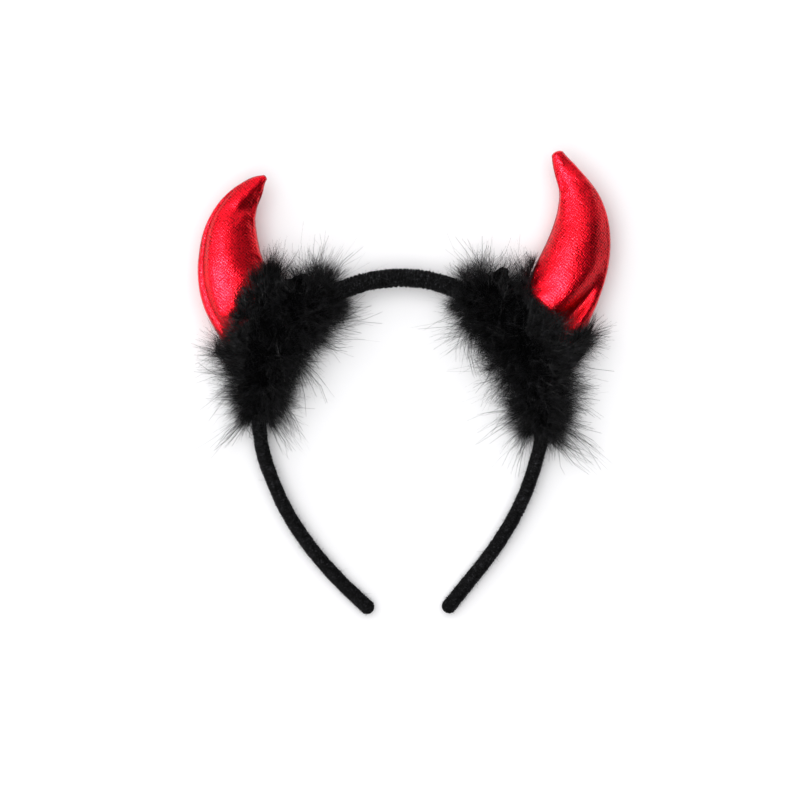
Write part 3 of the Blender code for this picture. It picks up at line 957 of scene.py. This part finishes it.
def foil_finish(horn):
    """Red foil on woven cloth: metal under a thin clear film, with painted shade in its creases, valley
    and puckers, a darker seam line, and a fine twill.
    """
    base = tuple(horn.colour)
    made = Finish(
        "red_foil_cloth", metallic=1.0, roughness=0.33,
        coat_weight=0.19, coat_roughness=0.24, coat_ior=1.45,
    )
    warp = made.bands(horn.weave, math.radians(38), 2.2)
    weft = made.bands(horn.weave * 1.3, math.radians(-47), 2.4)
    grain = made.noise(1150.0, 2.0, roughness=0.65)
    twill = made.maths("MULTIPLY", warp, weft)
    cloth = made.weighed((twill, 0.30), (grain, 0.85))
    worn = made.weighed((cloth, 0.75), (made.noise(75.0, 2.0), 0.25))
    # The first colour is painted shade, mixed in by the fold mark in creases, the valley and puckers
    # and along the seam line; the other three are the cloth's random tones
    painted_crease_shade, dark, middle, light = (shade(base, part) for part in (0.16, 0.32, 0.92, 1.22))
    colour = made.ramp(worn, [(0.34, dark), (0.46, middle), (0.56, light)])
    # Painted shade: darker wherever the fold mark is high
    made.set("Base Color", made.towards(colour, painted_crease_shade, made.attribute("fold")))
    made.set("Roughness", made.span(cloth, 0.27, 0.45))
    made.bump(cloth, 0.00030, 0.9)
    made.link(made.bumped, made.shader.inputs["Coat Normal"])
    return made.made


def surface_finish(colour):
    """The plain pale surface, very slightly uneven."""
    made = Finish("pale_surface", roughness=0.85, specular_ior_level=0.1)
    tone = made.ramp(made.noise(3.0, 2.0), [(0.3, shade(colour, 0.995)), (0.7, colour)])
    made.set("Base Color", tone)
    return made.made


def band_skin(hoop):
    """Hoop-plane points of the wound band, ring by ring, and how far each lies in its seam."""
    ring_step = 0.00030
    sides = 40
    noise_radius = 0.004
    seam_angle, seam_breadth, seam_depth = math.radians(24), 0.00042, 0.00016
    straight = hoop_length(hoop) - hoop.end_round
    body = np.linspace(0, straight, round(straight / ring_step) + 1)
    dome = np.radians(np.linspace(4, 86, 16))
    distances = np.concatenate([body, straight + hoop.end_round * np.sin(dome)])
    rounding = np.concatenate([np.ones_like(body), np.cos(dome)])
    angles = 2 * math.pi * np.arange(sides) / sides
    halves, seams = [], []
    for side in (-1, 1):
        centre, normal, _ = hoop_frames(hoop, distances, side)
        half_thickness, half_depth = hoop_half_sizes(hoop, distances)
        share = (distances / hoop_length(hoop))[:, None]
        round_it = noise_radius * np.cos(angles)[None, :], noise_radius * np.sin(angles)[None, :]
        place = np.stack(np.broadcast_arrays(side * distances[:, None], *round_it), -1)
        wander = 0.5 * waves(place, 5, 0.011) + 0.30 * waves(place, 6, 0.0035)
        finer = 1 + 0.28 * share
        along = distances[:, None] / hoop.rib_pitch * finer
        phase = along + wander * 0.8 + angles[None, :] / ABOUT_A_TURN
        rib = np.abs(np.sin(math.pi * phase)) ** 0.8
        knots = 0.5 + 0.5 * waves(place, 7, 0.0017)
        lumps = waves(place, 8, 0.0042)
        low = hoop.rib_depth * (1.1 - 0.5 * share)
        groove = (1 - rib) * (0.45 + 0.75 * knots)
        skin = low * (0.32 + 0.12 * lumps + 0.45 * (knots - 0.6) - groove)
        from_seam = (angles[None, :] - seam_angle) * half_thickness[:, None]
        seam = ridge(from_seam, 0, seam_breadth) * np.clip((share - 0.52) / 0.1, 0, 1)
        skin = skin * (1 - 0.8 * seam) - seam_depth * seam
        level = (half_thickness * rounding)[:, None] * np.cos(angles) + skin * np.cos(angles)
        upright = (half_depth * rounding)[:, None] * np.sin(angles) + skin * np.sin(angles)
        ring = centre[:, None, :] + normal[:, None, :] * level[..., None] + upward(upright)
        halves.append(ring)
        seams.append(seam)
    points = np.concatenate([halves[0][::-1], halves[1][1:]])
    return points, np.concatenate([seams[0][::-1], seams[1][1:]])


def hoop_fibres(hoop, chance, count):
    """Short fibres that stand out of the wound cover, as paths in the hoop's plane."""
    distance = chance.uniform(0, hoop_length(hoop) - 0.3 * hoop.end_round, count)
    side = np.where(chance.random(count) < 0.5, -1, 1)
    angle = chance.uniform(0, 2 * math.pi, count)
    frames = [hoop_frames(hoop, distance, s) for s in (-1, 1)]
    pick = (side > 0)[:, None]
    centre, normal, tangent = (np.where(pick, r, l) for l, r in zip(*frames))
    half_thickness, half_depth = hoop_half_sizes(hoop, distance)
    straight = hoop_length(hoop) - hoop.end_round
    past = np.clip((distance - straight) / hoop.end_round, 0, 0.98)
    rounding = np.sqrt(1 - past**2) * 0.94
    out = normal * np.cos(angle)[:, None] + upward(np.sin(angle))
    foot = centre + normal * (half_thickness * rounding * np.cos(angle))[:, None]
    foot = foot + upward(half_depth * rounding * np.sin(angle))
    lie = tangent * chance.normal(0, 0.7, count)[:, None]
    heading = unit(out + lie + chance.normal(0, 0.3, (count, 3)))
    length = hoop.pile * chance.uniform(0.5, 1.3, count) * np.where(chance.random(count) < 0.03, 2.2, 1)
    t = np.array([0.0, 0.55, 1.0])
    bend = chance.normal(0, 0.35, (count, 3))
    run = heading[:, None, :] * t[None, :, None] + bend[:, None, :] * (t**2)[None, :, None]
    return foot[:, None, :] + run * length[:, None, None]


def horn_fine_skin(hoop, horn, plan, shares, angles, moved):
    """The cover with its cloth moved, creased and puckered, and how deep each point lies, which sets
    the foil's painted shade.
    """
    skin = horn_skin(hoop, horn, plan, shares, angles) + moved
    u, v = np.cos(angles), np.sin(angles)
    face = np.where(v > 0, 1.0, LOWER_FACE_SHARE)
    half_width = horn_half_sizes(horn, plan, shares)[0]
    pressed = fold_depth(horn, plan, shares, u * half_width / (horn.width / 2)) * face
    edge = (1 - np.abs(u)) * half_width
    run = np.stack([shares * plan.length, np.sign(u) * 0.01 + 0 * shares, 0 * shares], -1)
    gather = np.clip(waves(run, 31 + plan.side, 0.0042) + 0.3, 0, 2)
    pucker_depth, welt_height, swell = 0.00020, 0.00022, 0.00022
    pucker = pucker_depth * gather * ridge(edge, 0.0016, 0.0013) * np.abs(v) ** 0.3
    welt = welt_height * ridge(edge, 0.0009, 0.0006)
    broad = swell * waves(skin, 41 + plan.side, 0.016) * np.abs(v)
    skin = skin - upward((np.abs(v) * pressed + pucker - welt - broad) * np.sign(v))
    channel = smooth_column(plan.sections, "channel", shares)
    channel_at = smooth_column(plan.sections, "channel_at", shares)
    valley = channel * ridge(u, channel_at, 0.8 * plan.channel_breadth) * (v > 0)
    # How much painted shade each point gets: more in creases, the valley and puckers, and along the
    # seam line
    depth = np.clip(pressed / (0.25 * horn.depth) + 0.9 * valley + pucker / 0.0016, 0, 0.85)
    seam_line = ridge(edge, 0, 0.00035)
    return skin, np.clip(depth + 0.6 * seam_line, 0, 1)


def horn_tip(rings, depth, half_width, forward):
    """The rounded end of the cover: rings that shrink ahead of the last one."""
    tip = rings[-1].mean(0)
    made, deep = [], []
    for angle in np.radians(np.linspace(9, 84, 9)):
        shrunk = (rings[-1] - tip) * math.cos(angle)
        made.append(tip + shrunk + forward * half_width * 0.6 * math.sin(angle))
        deep.append(depth[-1])
    return np.concatenate([rings, made]), np.concatenate([depth, deep])


def closed_skin(rings):
    """Points and faces of rings closed by a point at each end."""
    rows, columns = rings.shape[:2]
    points = np.concatenate([rings.reshape(-1, 3), [rings[0].mean(0), rings[-1].mean(0)]])
    faces = tube_faces(rows, columns)
    first, last = rows * columns, rows * columns + 1
    top = (rows - 1) * columns
    for j in range(columns):
        k = (j + 1) % columns
        faces.append((k, j, first))
        faces.append((top + j, top + k, last))
    return points, faces


def stuffed(horn, rings, pinned):
    """How far cloth over the rings moves when stuffing blows it up, the seams held, capped."""
    rows, columns = rings.shape[:2]
    points, faces = closed_skin(rings)
    around, ahead = rings[5, 1] - rings[5, 0], rings[6, 0] - rings[5, 0]
    if dot(np.cross(around, ahead), rings[5, 0] - rings[5].mean(0)) < 0:
        faces = [tuple(reversed(face)) for face in faces]
    mesh = bpy.data.meshes.new("stuffing")
    mesh.from_pydata(points.tolist(), [], faces)
    cover = linked("stuffing", mesh)
    held = cover.vertex_groups.new(name="seams")
    held.add(pinned, 1.0, "REPLACE")
    cloth = cover.modifiers.new("stuffing", "CLOTH")
    settings = cloth.settings
    settings.use_pressure = True
    settings.uniform_pressure_force = horn.stuffing
    settings.effector_weights.gravity = 0
    settings.vertex_group_mass = "seams"
    settings.shrink_min = -horn.slack
    settings.bending_stiffness = CLOTH_BENDING
    cloth.collision_settings.use_collision = False
    scene = bpy.context.scene
    for number in range(1, CLOTH_FRAMES + 1):
        scene.frame_set(number)
    settled = cover.evaluated_get(bpy.context.evaluated_depsgraph_get()).to_mesh()
    after = np.zeros(len(settled.vertices) * 3)
    settled.vertices.foreach_get("co", after)
    bpy.data.objects.remove(cover)
    scene.frame_set(1)
    move = (after.reshape(-1, 3) - points)[: rows * columns].reshape(rows, columns, 3)
    for _ in range(2):
        move = (np.roll(move, 1, 1) + 2 * move + np.roll(move, -1, 1)) / 4
        move[1:-1] = (move[:-2] + 2 * move[1:-1] + move[2:]) / 4
    length = np.linalg.norm(move, axis=-1, keepdims=True)
    return move * np.minimum(1, horn.give / np.maximum(length, 1e-9))


def horn_cover(hoop, horn, plan, laid):
    """World points of one stuffed horn, ring by ring, and how deep each lies in a fold, which sets its
    painted shade.
    """
    fine_rows, fine_columns = 200, 144
    rows, columns = 62, 48
    fine_shares = np.linspace(0, 1, fine_rows)
    fine_angles = 2 * math.pi * np.arange(fine_columns) / fine_columns
    moved = np.zeros((fine_rows, fine_columns, 3))
    shares, angles = np.linspace(0, 1, rows), 2 * math.pi * np.arange(columns) / columns
    grid = np.meshgrid(shares, angles, indexing="ij")
    rings = horn_skin(hoop, horn, plan, *grid)
    seams = [i * columns + j for i in range(rows) for j in (0, columns // 2)]
    ends = [i * columns + j for i in (0, 1, rows - 2, rows - 1) for j in range(columns)]
    move = stuffed(horn, rings, sorted(set(seams + ends)))
    around = np.concatenate([move, move[:, :1]], 1)
    turn = np.append(angles, 2 * math.pi)
    by_row = np.stack(
        [[np.interp(fine_angles, turn, around[i, :, k]) for i in range(rows)] for k in range(3)], -1
    )
    moved = np.stack(
        [
            [np.interp(fine_shares, shares, by_row[:, j, k]) for j in range(fine_columns)]
            for k in range(3)
        ],
        -1,
    ).transpose(1, 0, 2)
    grid = np.meshgrid(fine_shares, fine_angles, indexing="ij")
    skin, depth = horn_fine_skin(hoop, horn, plan, *grid, moved)
    spine = horn_spine(hoop, horn, plan)
    forward = unit(spine[1][-1] - spine[1][-2])
    half_width = horn_half_sizes(horn, plan, np.array(1.0))[0]
    skin, depth = horn_tip(skin, depth, half_width, forward)
    skin = out_of_hoop(hoop, skin, CLEARANCE)
    return over_floor(to_world(skin, laid), 0.0), depth


def trim_plans(horn, down):
    """What sets the left trim and the right one apart."""
    left, right = horn_plans(horn)
    return (
        TrimPlan(
            name="left_marabou_trim", horn=left, to_crown=down.left_to_crown,
            to_temple=down.left_to_temple, sections=LEFT_TRIM_SECTIONS, plumes=LEFT_PLUMES, seed=11,
        ),
        TrimPlan(
            name="right_marabou_trim", horn=right, to_crown=down.right_to_crown,
            to_temple=down.right_to_temple, sections=RIGHT_TRIM_SECTIONS, plumes=RIGHT_PLUMES, seed=23,
        ),
    )


def trim_rim(down, trim, share, angle):
    """How far the feathers reach from the hoop's centreline, at angles round it."""
    outer = smooth_column(trim.sections, "outer", share)
    inner = smooth_column(trim.sections, "inner", share)
    over = smooth_column(trim.sections, "over", share)
    level = np.where(np.cos(angle) > 0, outer, inner) * np.cos(angle)
    return down.reach * np.hypot(level, over * np.sin(angle))


def trim_distance(hoop, trim, share):
    """How far along the hoop, from the top of the crown, shares of the trim's length lie."""
    start = hoop.crown_radius * trim.horn.seat - trim.to_crown
    return start + share * (trim.to_crown + trim.to_temple)


def trim_core(hoop, horn, down, trim, laid):
    """The dense down close round the hoop: a lumpy sleeve with the hoop's hole through it."""
    rows, columns = 96, 56
    share = np.linspace(0, 1, rows)[:, None] + np.zeros(columns)
    angle = 2 * math.pi * np.arange(columns)[None, :] / columns + np.zeros((rows, 1))
    distance = trim_distance(hoop, trim, share)
    centre, normal, _ = hoop_frames(hoop, distance, trim.horn.side)
    half_thickness, half_depth = hoop_half_sizes(hoop, distance)
    cover = np.hypot(half_thickness * np.cos(angle), half_depth * np.sin(angle))
    ends = np.clip(np.minimum(share, 1 - share) / 0.05, 0, 1) ** 0.5
    out = normal * np.cos(angle)[..., None] + upward(np.sin(angle))
    filled = np.clip(np.cos(angle), 0, 1) * np.clip((0.55 - share) / 0.15, 0, 1)
    dense = trim_rim(down, trim, share, angle) * (CORE_SHARE + CORE_FILL * filled)
    thick = np.maximum(dense - cover, 0.0010)
    place = centre + out * (cover + thick)[..., None]
    lumps = 1 + 0.20 * waves(place, trim.seed, 0.006) + 0.06 * waves(place, trim.seed + 1, 0.0022)
    outer = centre + out * (cover + CLEARANCE + thick * lumps * (0.25 + 0.75 * ends))[..., None]
    outer = out_of_horn(hoop, horn, trim.horn, outer, CLEARANCE)
    inner = centre + out * (cover + CLEARANCE)[..., None]
    skin = np.concatenate([outer, inner[::-1]])
    return over_floor(to_world(skin, laid)), tube_faces(2 * rows, columns, closed_rows=True)


def collar_core(hoop, horn, trim, laid):
    """The dense down round the horn's foot: a sleeve over the cover with a ragged front."""
    rows, columns = 40, 72
    angle = 2 * math.pi * np.arange(columns)[None, :] / columns + np.zeros((rows, 1))
    edge = smooth_column(trim.horn.feather_edge, "share", np.cos(angle))
    front = np.maximum(edge - 0.11, 0.05)
    share = np.linspace(0, 1, rows)[:, None] * front
    fade = np.sqrt(np.clip(1 - (share / front), 0, 1)) * (0.35 + 0.65 * np.clip(share / 0.03, 0, 1))
    place = horn_skin(hoop, horn, trim.horn, share, angle)
    lumps = 1 + 0.25 * waves(place, trim.seed + 2, 0.005) + 0.15 * waves(place, trim.seed + 3, 0.002)
    thick = CLEARANCE + 0.0023 * fade * lumps
    outer = horn_skin(hoop, horn, trim.horn, share, angle, np.maximum(thick, 1.5 * CLEARANCE))
    inner = horn_skin(hoop, horn, trim.horn, share, angle, CLEARANCE)
    skin = np.concatenate([outer, inner[::-1]])
    skin = out_of_hoop(hoop, skin, CLEARANCE)
    return over_floor(to_world(skin, laid)), tube_faces(2 * rows, columns, closed_rows=True)


def strands(chance, feet, headings, lengths, spreads, count):
    """Curved single barbs that leave each foot in a loose bunch, as paths."""
    t = np.array([0.0, 0.25, 0.5, 0.75, 1.0])
    shape = (len(feet), count, 3)
    first = unit(headings[:, None, :] + spreads[:, None, None] * chance.normal(size=shape))
    bunch = chance.normal(0, 0.34, (len(feet), 1, 3))
    curl = bunch + chance.normal(0, 0.15, shape)
    curl[..., 2] -= 0.10
    sway = chance.normal(0, 0.040, shape)
    reach = (
        first[:, :, None, :] * t[:, None]
        + curl[:, :, None, :] * (t**2)[:, None]
        + sway[:, :, None, :] * np.sin(2 * math.pi * t)[:, None]
    )
    run = lengths[:, None] * chance.uniform(0.45, 1.12, shape[:2])
    root = feet[:, None, :] + chance.normal(0, 0.0008, shape)
    return (root[:, :, None, :] + reach * run[:, :, None, None]).reshape(-1, len(t), 3)


def rim_feet(hoop, trim, share, angle, comb):
    """Feet on the hoop's cover, their distance from its middle, and their headings."""
    distance = trim_distance(hoop, trim, share)
    centre, normal, tangent = hoop_frames(hoop, distance, trim.horn.side)
    half_thickness, half_depth = hoop_half_sizes(hoop, distance)
    level, upright = half_thickness * np.cos(angle), half_depth * np.sin(angle)
    feet = centre + normal * level[:, None] + upward(upright)
    out = normal * np.cos(angle)[:, None] + upward(np.sin(angle))
    headings = out * np.cos(comb)[:, None] + tangent * np.sin(comb)[:, None]
    return feet, np.hypot(level, upright), unit(headings)


def sleeve_feathers(hoop, down, trim, chance):
    """Strands of the tufts along the hoop, in the hoop's plane."""
    number = down.tufts
    share = chance.uniform(0.0, 1.0, number)
    angle = chance.uniform(-0.5, math.pi + 0.5, number)
    comb = (2 * share - 1) * 0.75 + chance.normal(0, 0.30, number)
    feet, start, headings = rim_feet(hoop, trim, share, angle, comb)
    rim = trim_rim(down, trim, share, angle) * (0.50 + 0.58 * chance.uniform(0, 1, number) ** 1.6)
    lengths = np.maximum(rim - start, SHORTEST_STRAND)
    return strands(chance, feet, headings, lengths, chance.uniform(0.06, 0.24, number), TUFT_STRANDS)


def long_strays(hoop, down, trim, chance):
    """Single long strands that curve out past the rest, in the hoop's plane."""
    number = down.strays
    share = chance.uniform(0.0, 1.0, number)
    angle = chance.choice([0.25, math.pi - 0.25], number) + chance.normal(0, 0.35, number)
    comb = (2 * share - 1) * 0.80 + chance.normal(0, 0.45, number)
    feet, start, headings = rim_feet(hoop, trim, share, angle, comb)
    rim = trim_rim(down, trim, share, angle) * chance.uniform(0.95, 1.32, number)
    lengths = np.maximum(rim - start, SHORTEST_STRAND)
    return strands(chance, feet, headings, lengths, np.full(number, 0.12), STRAY_STRANDS)


def fluff(hoop, down, trim, chance):
    """The finest, short down that hangs between the strands, in the hoop's plane."""
    number = down.fluff
    share = chance.uniform(0.0, 1.0, number)
    side = np.where(chance.random(number) < 0.5, 0.0, math.pi)
    beside = chance.random(number) < 0.6
    at_side = side + chance.normal(0, 0.3, number)
    anywhere = chance.uniform(0, math.pi, number)
    angle = np.where(beside, at_side, anywhere)
    comb = (2 * share - 1) * 0.7 + chance.normal(0, 0.45, number)
    feet, start, headings = rim_feet(hoop, trim, share, angle, comb)
    rim = trim_rim(down, trim, share, angle)
    feet = feet + headings * ((rim - start) * chance.uniform(0.28, 0.60, number))[:, None]
    lengths, spreads = np.full(number, 0.0062), np.full(number, 0.42)
    return strands(chance, feet, headings, lengths, spreads, FLUFF_STRANDS)


def plumes(hoop, down, trim, chance):
    """The plumes of the table: bunches of long strands, in the hoop's plane."""
    table = trim.plumes
    share = np.array([plume.along for plume in table])
    angle = np.radians([plume.around for plume in table])
    comb = np.radians([plume.comb for plume in table])
    feet, start, headings = rim_feet(hoop, trim, share, angle, comb)
    lengths = np.array([plume.reach for plume in table]) * down.reach - start
    spreads = 0.30 * np.array([plume.spread for plume in table])
    return strands(chance, feet, headings, lengths, spreads, PLUME_STRANDS)


def collar_tufts(hoop, horn, down, trim, chance):
    """Strands round the horn's foot, combed along the horn, in the hoop's plane."""
    plan = trim.horn
    number = down.collar_tufts
    angle = chance.uniform(-0.25, math.pi + 0.25, number)
    edge = smooth_column(plan.feather_edge, "share", np.cos(angle))
    lengths = chance.uniform(0.0055, 0.0105, number)
    far = np.maximum(edge - 0.35 * lengths / plan.length, 0.03)
    share = far * chance.uniform(0, 1, number) ** 0.45
    near = horn_skin(hoop, horn, plan, share, angle, CLEARANCE)
    ahead = horn_skin(hoop, horn, plan, share + 0.01, angle, CLEARANCE)
    along = unit(ahead - near)
    centre = along_spine(horn_spine(hoop, horn, plan), share)[0]
    out = near - centre
    out = unit(out - along * dot(out, along)[:, None])
    rise = (chance.uniform(0.10, 0.40, number) + 0.4 * np.cos(angle) ** 4)[:, None]
    headings = unit(along + out * rise + chance.normal(0, 0.28, (number, 3)))
    spreads = chance.uniform(0.12, 0.30, number)
    return strands(chance, near, headings, lengths, spreads, COLLAR_STRANDS)


def settle_down(hoop, horn, trim, laid, paths):
    """Paths in the hoop's plane kept out of the horn, off the surface and low, in the world."""
    clear = out_of_horn(hoop, horn, trim.horn, paths, CLEARANCE, 1.05)
    placed = over_floor(to_world(clear, laid))
    above = np.maximum(placed[..., 2] - FEATHER_TOP, 0)
    placed[..., 2] -= FEATHER_PRESS * above
    return placed


def barb_widths(down, chance, count, points):
    """Widths of barbs along their paths, thinner to their tips."""
    taper = np.linspace(1.0, 0.25, points) ** 0.8
    return down.barb * chance.uniform(0.55, 1.35, count)[:, None] * taper[None, :]


class HEADBAND_OT_wound_band(bpy.types.Operator):
    """Builds the wound chenille band and its short fibres"""

    bl_idname = "headband.wound_band"
    bl_label = "Wound Band"
    bl_options = {"REGISTER", "UNDO"}

    def execute(self, context):
        settings = context.scene.devil_headband
        hoop = settings.hoop
        laid = laid_flat(hoop, settings.horn)
        rings, seam = band_skin(hoop)
        points, faces = closed_skin(over_floor(to_world(rings, laid), 0.0))
        band = mesh_piece("wound_band", points, faces, chenille_finish(hoop))
        mark_points(band, "seam", seam)
        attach(band, "root")
        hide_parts("headband")

        chance = np.random.default_rng(3)
        paths = over_floor(to_world(hoop_fibres(hoop, chance, hoop.fibres), laid), 0.00005)
        widths = np.array([1.0, 0.8, 0.3])[None, :] * chance.uniform(5e-5, 1.1e-4, len(paths))[:, None]
        rolls = chance.uniform(0, math.pi, len(paths))
        finish = fibre_finish("chenille_fibres", tuple(hoop.colour), 0.75, 0.16)
        pile = ribbons("band_pile", paths, widths, rolls, finish)
        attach(pile, "root")
        return {"FINISHED"}


class HEADBAND_OT_stuffed_horns(bpy.types.Operator):
    """Builds both stuffed horns of foil cloth"""

    bl_idname = "headband.stuffed_horns"
    bl_label = "Stuffed Horns"
    bl_options = {"REGISTER", "UNDO"}

    def execute(self, context):
        settings = context.scene.devil_headband
        hoop, horn = settings.hoop, settings.horn
        laid = laid_flat(hoop, horn)
        finish = foil_finish(horn)
        for plan in horn_plans(horn):
            rings, depth = horn_cover(hoop, horn, plan, laid)
            points, faces = closed_skin(rings)
            cover = mesh_piece(plan.name + "_cover", points, faces, finish)
            # The fold mark sets the foil's painted shade in its creases, valley and puckers and along
            # its seam line
            mark_points(cover, "fold", depth)
            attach(cover, "root")
            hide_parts(plan.name)
        return {"FINISHED"}


class HEADBAND_OT_marabou_trims(bpy.types.Operator):
    """Builds both marabou trims: a dense core, feathers along the hoop and tufts on the horn"""

    bl_idname = "headband.marabou_trims"
    bl_label = "Marabou Trims"
    bl_options = {"REGISTER", "UNDO"}

    def execute(self, context):
        settings = context.scene.devil_headband
        hoop, horn, down = settings.hoop, settings.horn, settings.down
        laid = laid_flat(hoop, horn)
        base = tuple(down.colour)
        core_finish = down_core_finish(base)
        barb_finish = fibre_finish("black_marabou", base, 0.45, 0.20)
        for trim in trim_plans(horn, down):
            chance = np.random.default_rng(trim.seed)
            sleeve, faces = trim_core(hoop, horn, down, trim, laid)
            collar, more = collar_core(hoop, horn, trim, laid)
            start = sleeve.reshape(-1, 3).shape[0]
            points = np.concatenate([sleeve.reshape(-1, 3), collar.reshape(-1, 3)])
            faces = faces + [tuple(k + start for k in face) for face in more]
            core = mesh_piece(trim.name + "_core", points, faces, core_finish)
            pieces = [core]
            for title, paths, broader in (
                ("_feathers", sleeve_feathers(hoop, down, trim, chance), 1.0),
                ("_plumes", plumes(hoop, down, trim, chance), 1.3),
                ("_strays", long_strays(hoop, down, trim, chance), 1.4),
                ("_fluff", fluff(hoop, down, trim, chance), 0.7),
                ("_collar", collar_tufts(hoop, horn, down, trim, chance), 0.9),
            ):
                hiding = hides_foil(hoop, horn, trim.horn, paths, EDGE_SLACK)
                paths = paths[~hiding | (chance.random(len(paths)) < LOOSE_SHARE)]
                paths = settle_down(hoop, horn, trim, laid, paths)
                length = np.linalg.norm(np.diff(paths, axis=1), axis=-1).sum(-1)
                paths = paths[length < LONGEST_STRAND * down.reach]
                widths = barb_widths(down, chance, *paths.shape[:2]) * broader
                rolls = chance.uniform(0, math.pi, len(paths))
                pieces.append(ribbons(trim.name + title, paths, widths, rolls, barb_finish))
            for piece in pieces:
                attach(piece, "root")
                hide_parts(trim.name)
        return {"FINISHED"}


class HEADBAND_OT_stage(bpy.types.Operator):
    """Sets the pale surface, the soft light and the camera straight above"""

    bl_idname = "headband.stage"
    bl_label = "Stage"
    bl_options = {"REGISTER", "UNDO"}

    def execute(self, context):
        scene = context.scene
        stage = scene.devil_headband.stage
        self.surface(stage)
        self.light(scene, stage)
        self.camera(scene, stage)
        return {"FINISHED"}

    def surface(self, stage):
        """The wide, level surface."""
        half = 8.0
        corners = np.array([(-half, -half, 0), (half, -half, 0), (half, half, 0), (-half, half, 0)])
        floor = mesh_piece("surface", corners, [(0, 1, 2, 3)], surface_finish(tuple(stage.colour)))

    def light(self, scene, stage):
        """Three lamps and the tent."""
        self.sun("key_light", stage.key, KEY_BREADTH, KEY_FROM)
        glint = self.sun("glint_light", stage.glint, GLINT_BREADTH, GLINT_FROM)
        glint.visible_diffuse = False

        wide = bpy.data.lights.new("fill_light", "AREA")
        wide.shape = "DISK"
        wide.size = 2.0
        wide.energy = stage.fill
        over = linked("fill_light", wide)
        over.location = (0, 0, 1.4)
        over.visible_camera = False
        over.visible_glossy = False
        self.tent(scene, stage)

    def sun(self, name, strength, breadth, place):
        """A lamp far away, so many degrees broad."""
        sun = bpy.data.lights.new(name, "SUN")
        sun.energy = strength
        sun.angle = math.radians(breadth)
        lamp = linked(name, sun)
        lamp.rotation_euler = Vector(place).to_track_quat("Z", "Y").to_euler()
        return lamp

    def tent(self, scene, stage):
        """A white tent over the left and the middle, and a dim room beyond it on the right."""
        tent = bpy.data.worlds.new("tent")
        scene.world = tent
        tent.use_nodes = True
        nodes, links = tent.node_tree.nodes, tent.node_tree.links
        place = nodes.new("ShaderNodeTexCoord")
        facing = nodes.new("ShaderNodeVectorMath")
        facing.operation = "DOT_PRODUCT"
        facing.inputs[1].default_value = Vector(ROOM_AT).normalized()
        links.new(place.outputs["Generated"], facing.inputs[0])
        share = nodes.new("ShaderNodeMapRange")
        share.inputs["From Min"].default_value = -1.0
        links.new(facing.outputs["Value"], share.inputs["Value"])
        curtain = nodes.new("ShaderNodeValToRGB")
        ramp = curtain.color_ramp
        ramp.interpolation = "EASE"
        while len(ramp.elements) < len(TENT_STOPS):
            ramp.elements.new(0.5)
        for element, (position, level) in zip(ramp.elements, TENT_STOPS):
            element.position = position
            element.color = (*shade(TENT_TINT, level), 1.0)
        links.new(share.outputs["Result"], curtain.inputs["Fac"])
        background = nodes["Background"]
        background.inputs["Strength"].default_value = stage.tent
        links.new(curtain.outputs["Color"], background.inputs["Color"])

    def camera(self, scene, stage):
        """The camera straight above, turned a little."""
        camera = bpy.data.cameras.new("camera")
        camera.sensor_width = 36.0
        headband_height = CAD_BOX[1].z / 3
        away = stage.camera_height - headband_height
        camera.lens = camera.sensor_width * away / stage.frame_width
        camera.clip_start = 0.05
        camera.clip_end = 30.0
        eye = linked("camera", camera)
        eye.location = (stage.frame_right, stage.frame_up, stage.camera_height)
        eye.rotation_euler = (0, 0, -stage.roll)
        scene.camera = eye
        scene.view_settings.view_transform = "Standard"
        scene.view_settings.look = "None"


class HEADBAND_PT_panel(bpy.types.Panel):
    """Lists the headband's pieces and their sizes"""

    bl_idname = "HEADBAND_PT_panel"
    bl_label = "Devil Horns Headband"
    bl_space_type = "VIEW_3D"
    bl_region_type = "UI"
    bl_category = "Headband"

    def draw(self, context):
        settings = context.scene.devil_headband
        for operator, group in (
            (HEADBAND_OT_wound_band, settings.hoop),
            (HEADBAND_OT_stuffed_horns, settings.horn),
            (HEADBAND_OT_marabou_trims, settings.down),
            (HEADBAND_OT_stage, settings.stage),
        ):
            box = self.layout.box()
            box.operator(operator.bl_idname)
            for name in group.bl_rna.properties.keys():
                if name not in ("rna_type", "name"):
                    box.prop(group, name)


CLASSES = (
    HoopSizes,
    HornSizes,
    MarabouSizes,
    StageSizes,
    HeadbandSettings,
    HEADBAND_OT_wound_band,
    HEADBAND_OT_stuffed_horns,
    HEADBAND_OT_marabou_trims,
    HEADBAND_OT_stage,
    HEADBAND_PT_panel,
)


def register():
    """Adds the settings, the operators and the panel."""
    for made in CLASSES:
        bpy.utils.register_class(made)
    bpy.types.Scene.devil_headband = PointerProperty(type=HeadbandSettings)


def unregister():
    """Takes them out again."""
    del bpy.types.Scene.devil_headband
    for made in reversed(CLASSES):
        bpy.utils.unregister_class(made)


def main():
    """Builds the headband on its stage."""
    register()
    bpy.ops.headband.stage()
    bpy.ops.headband.wound_band()
    bpy.ops.headband.stuffed_horns()
    bpy.ops.headband.marabou_trims()


if __name__ == "__main__":
    main()
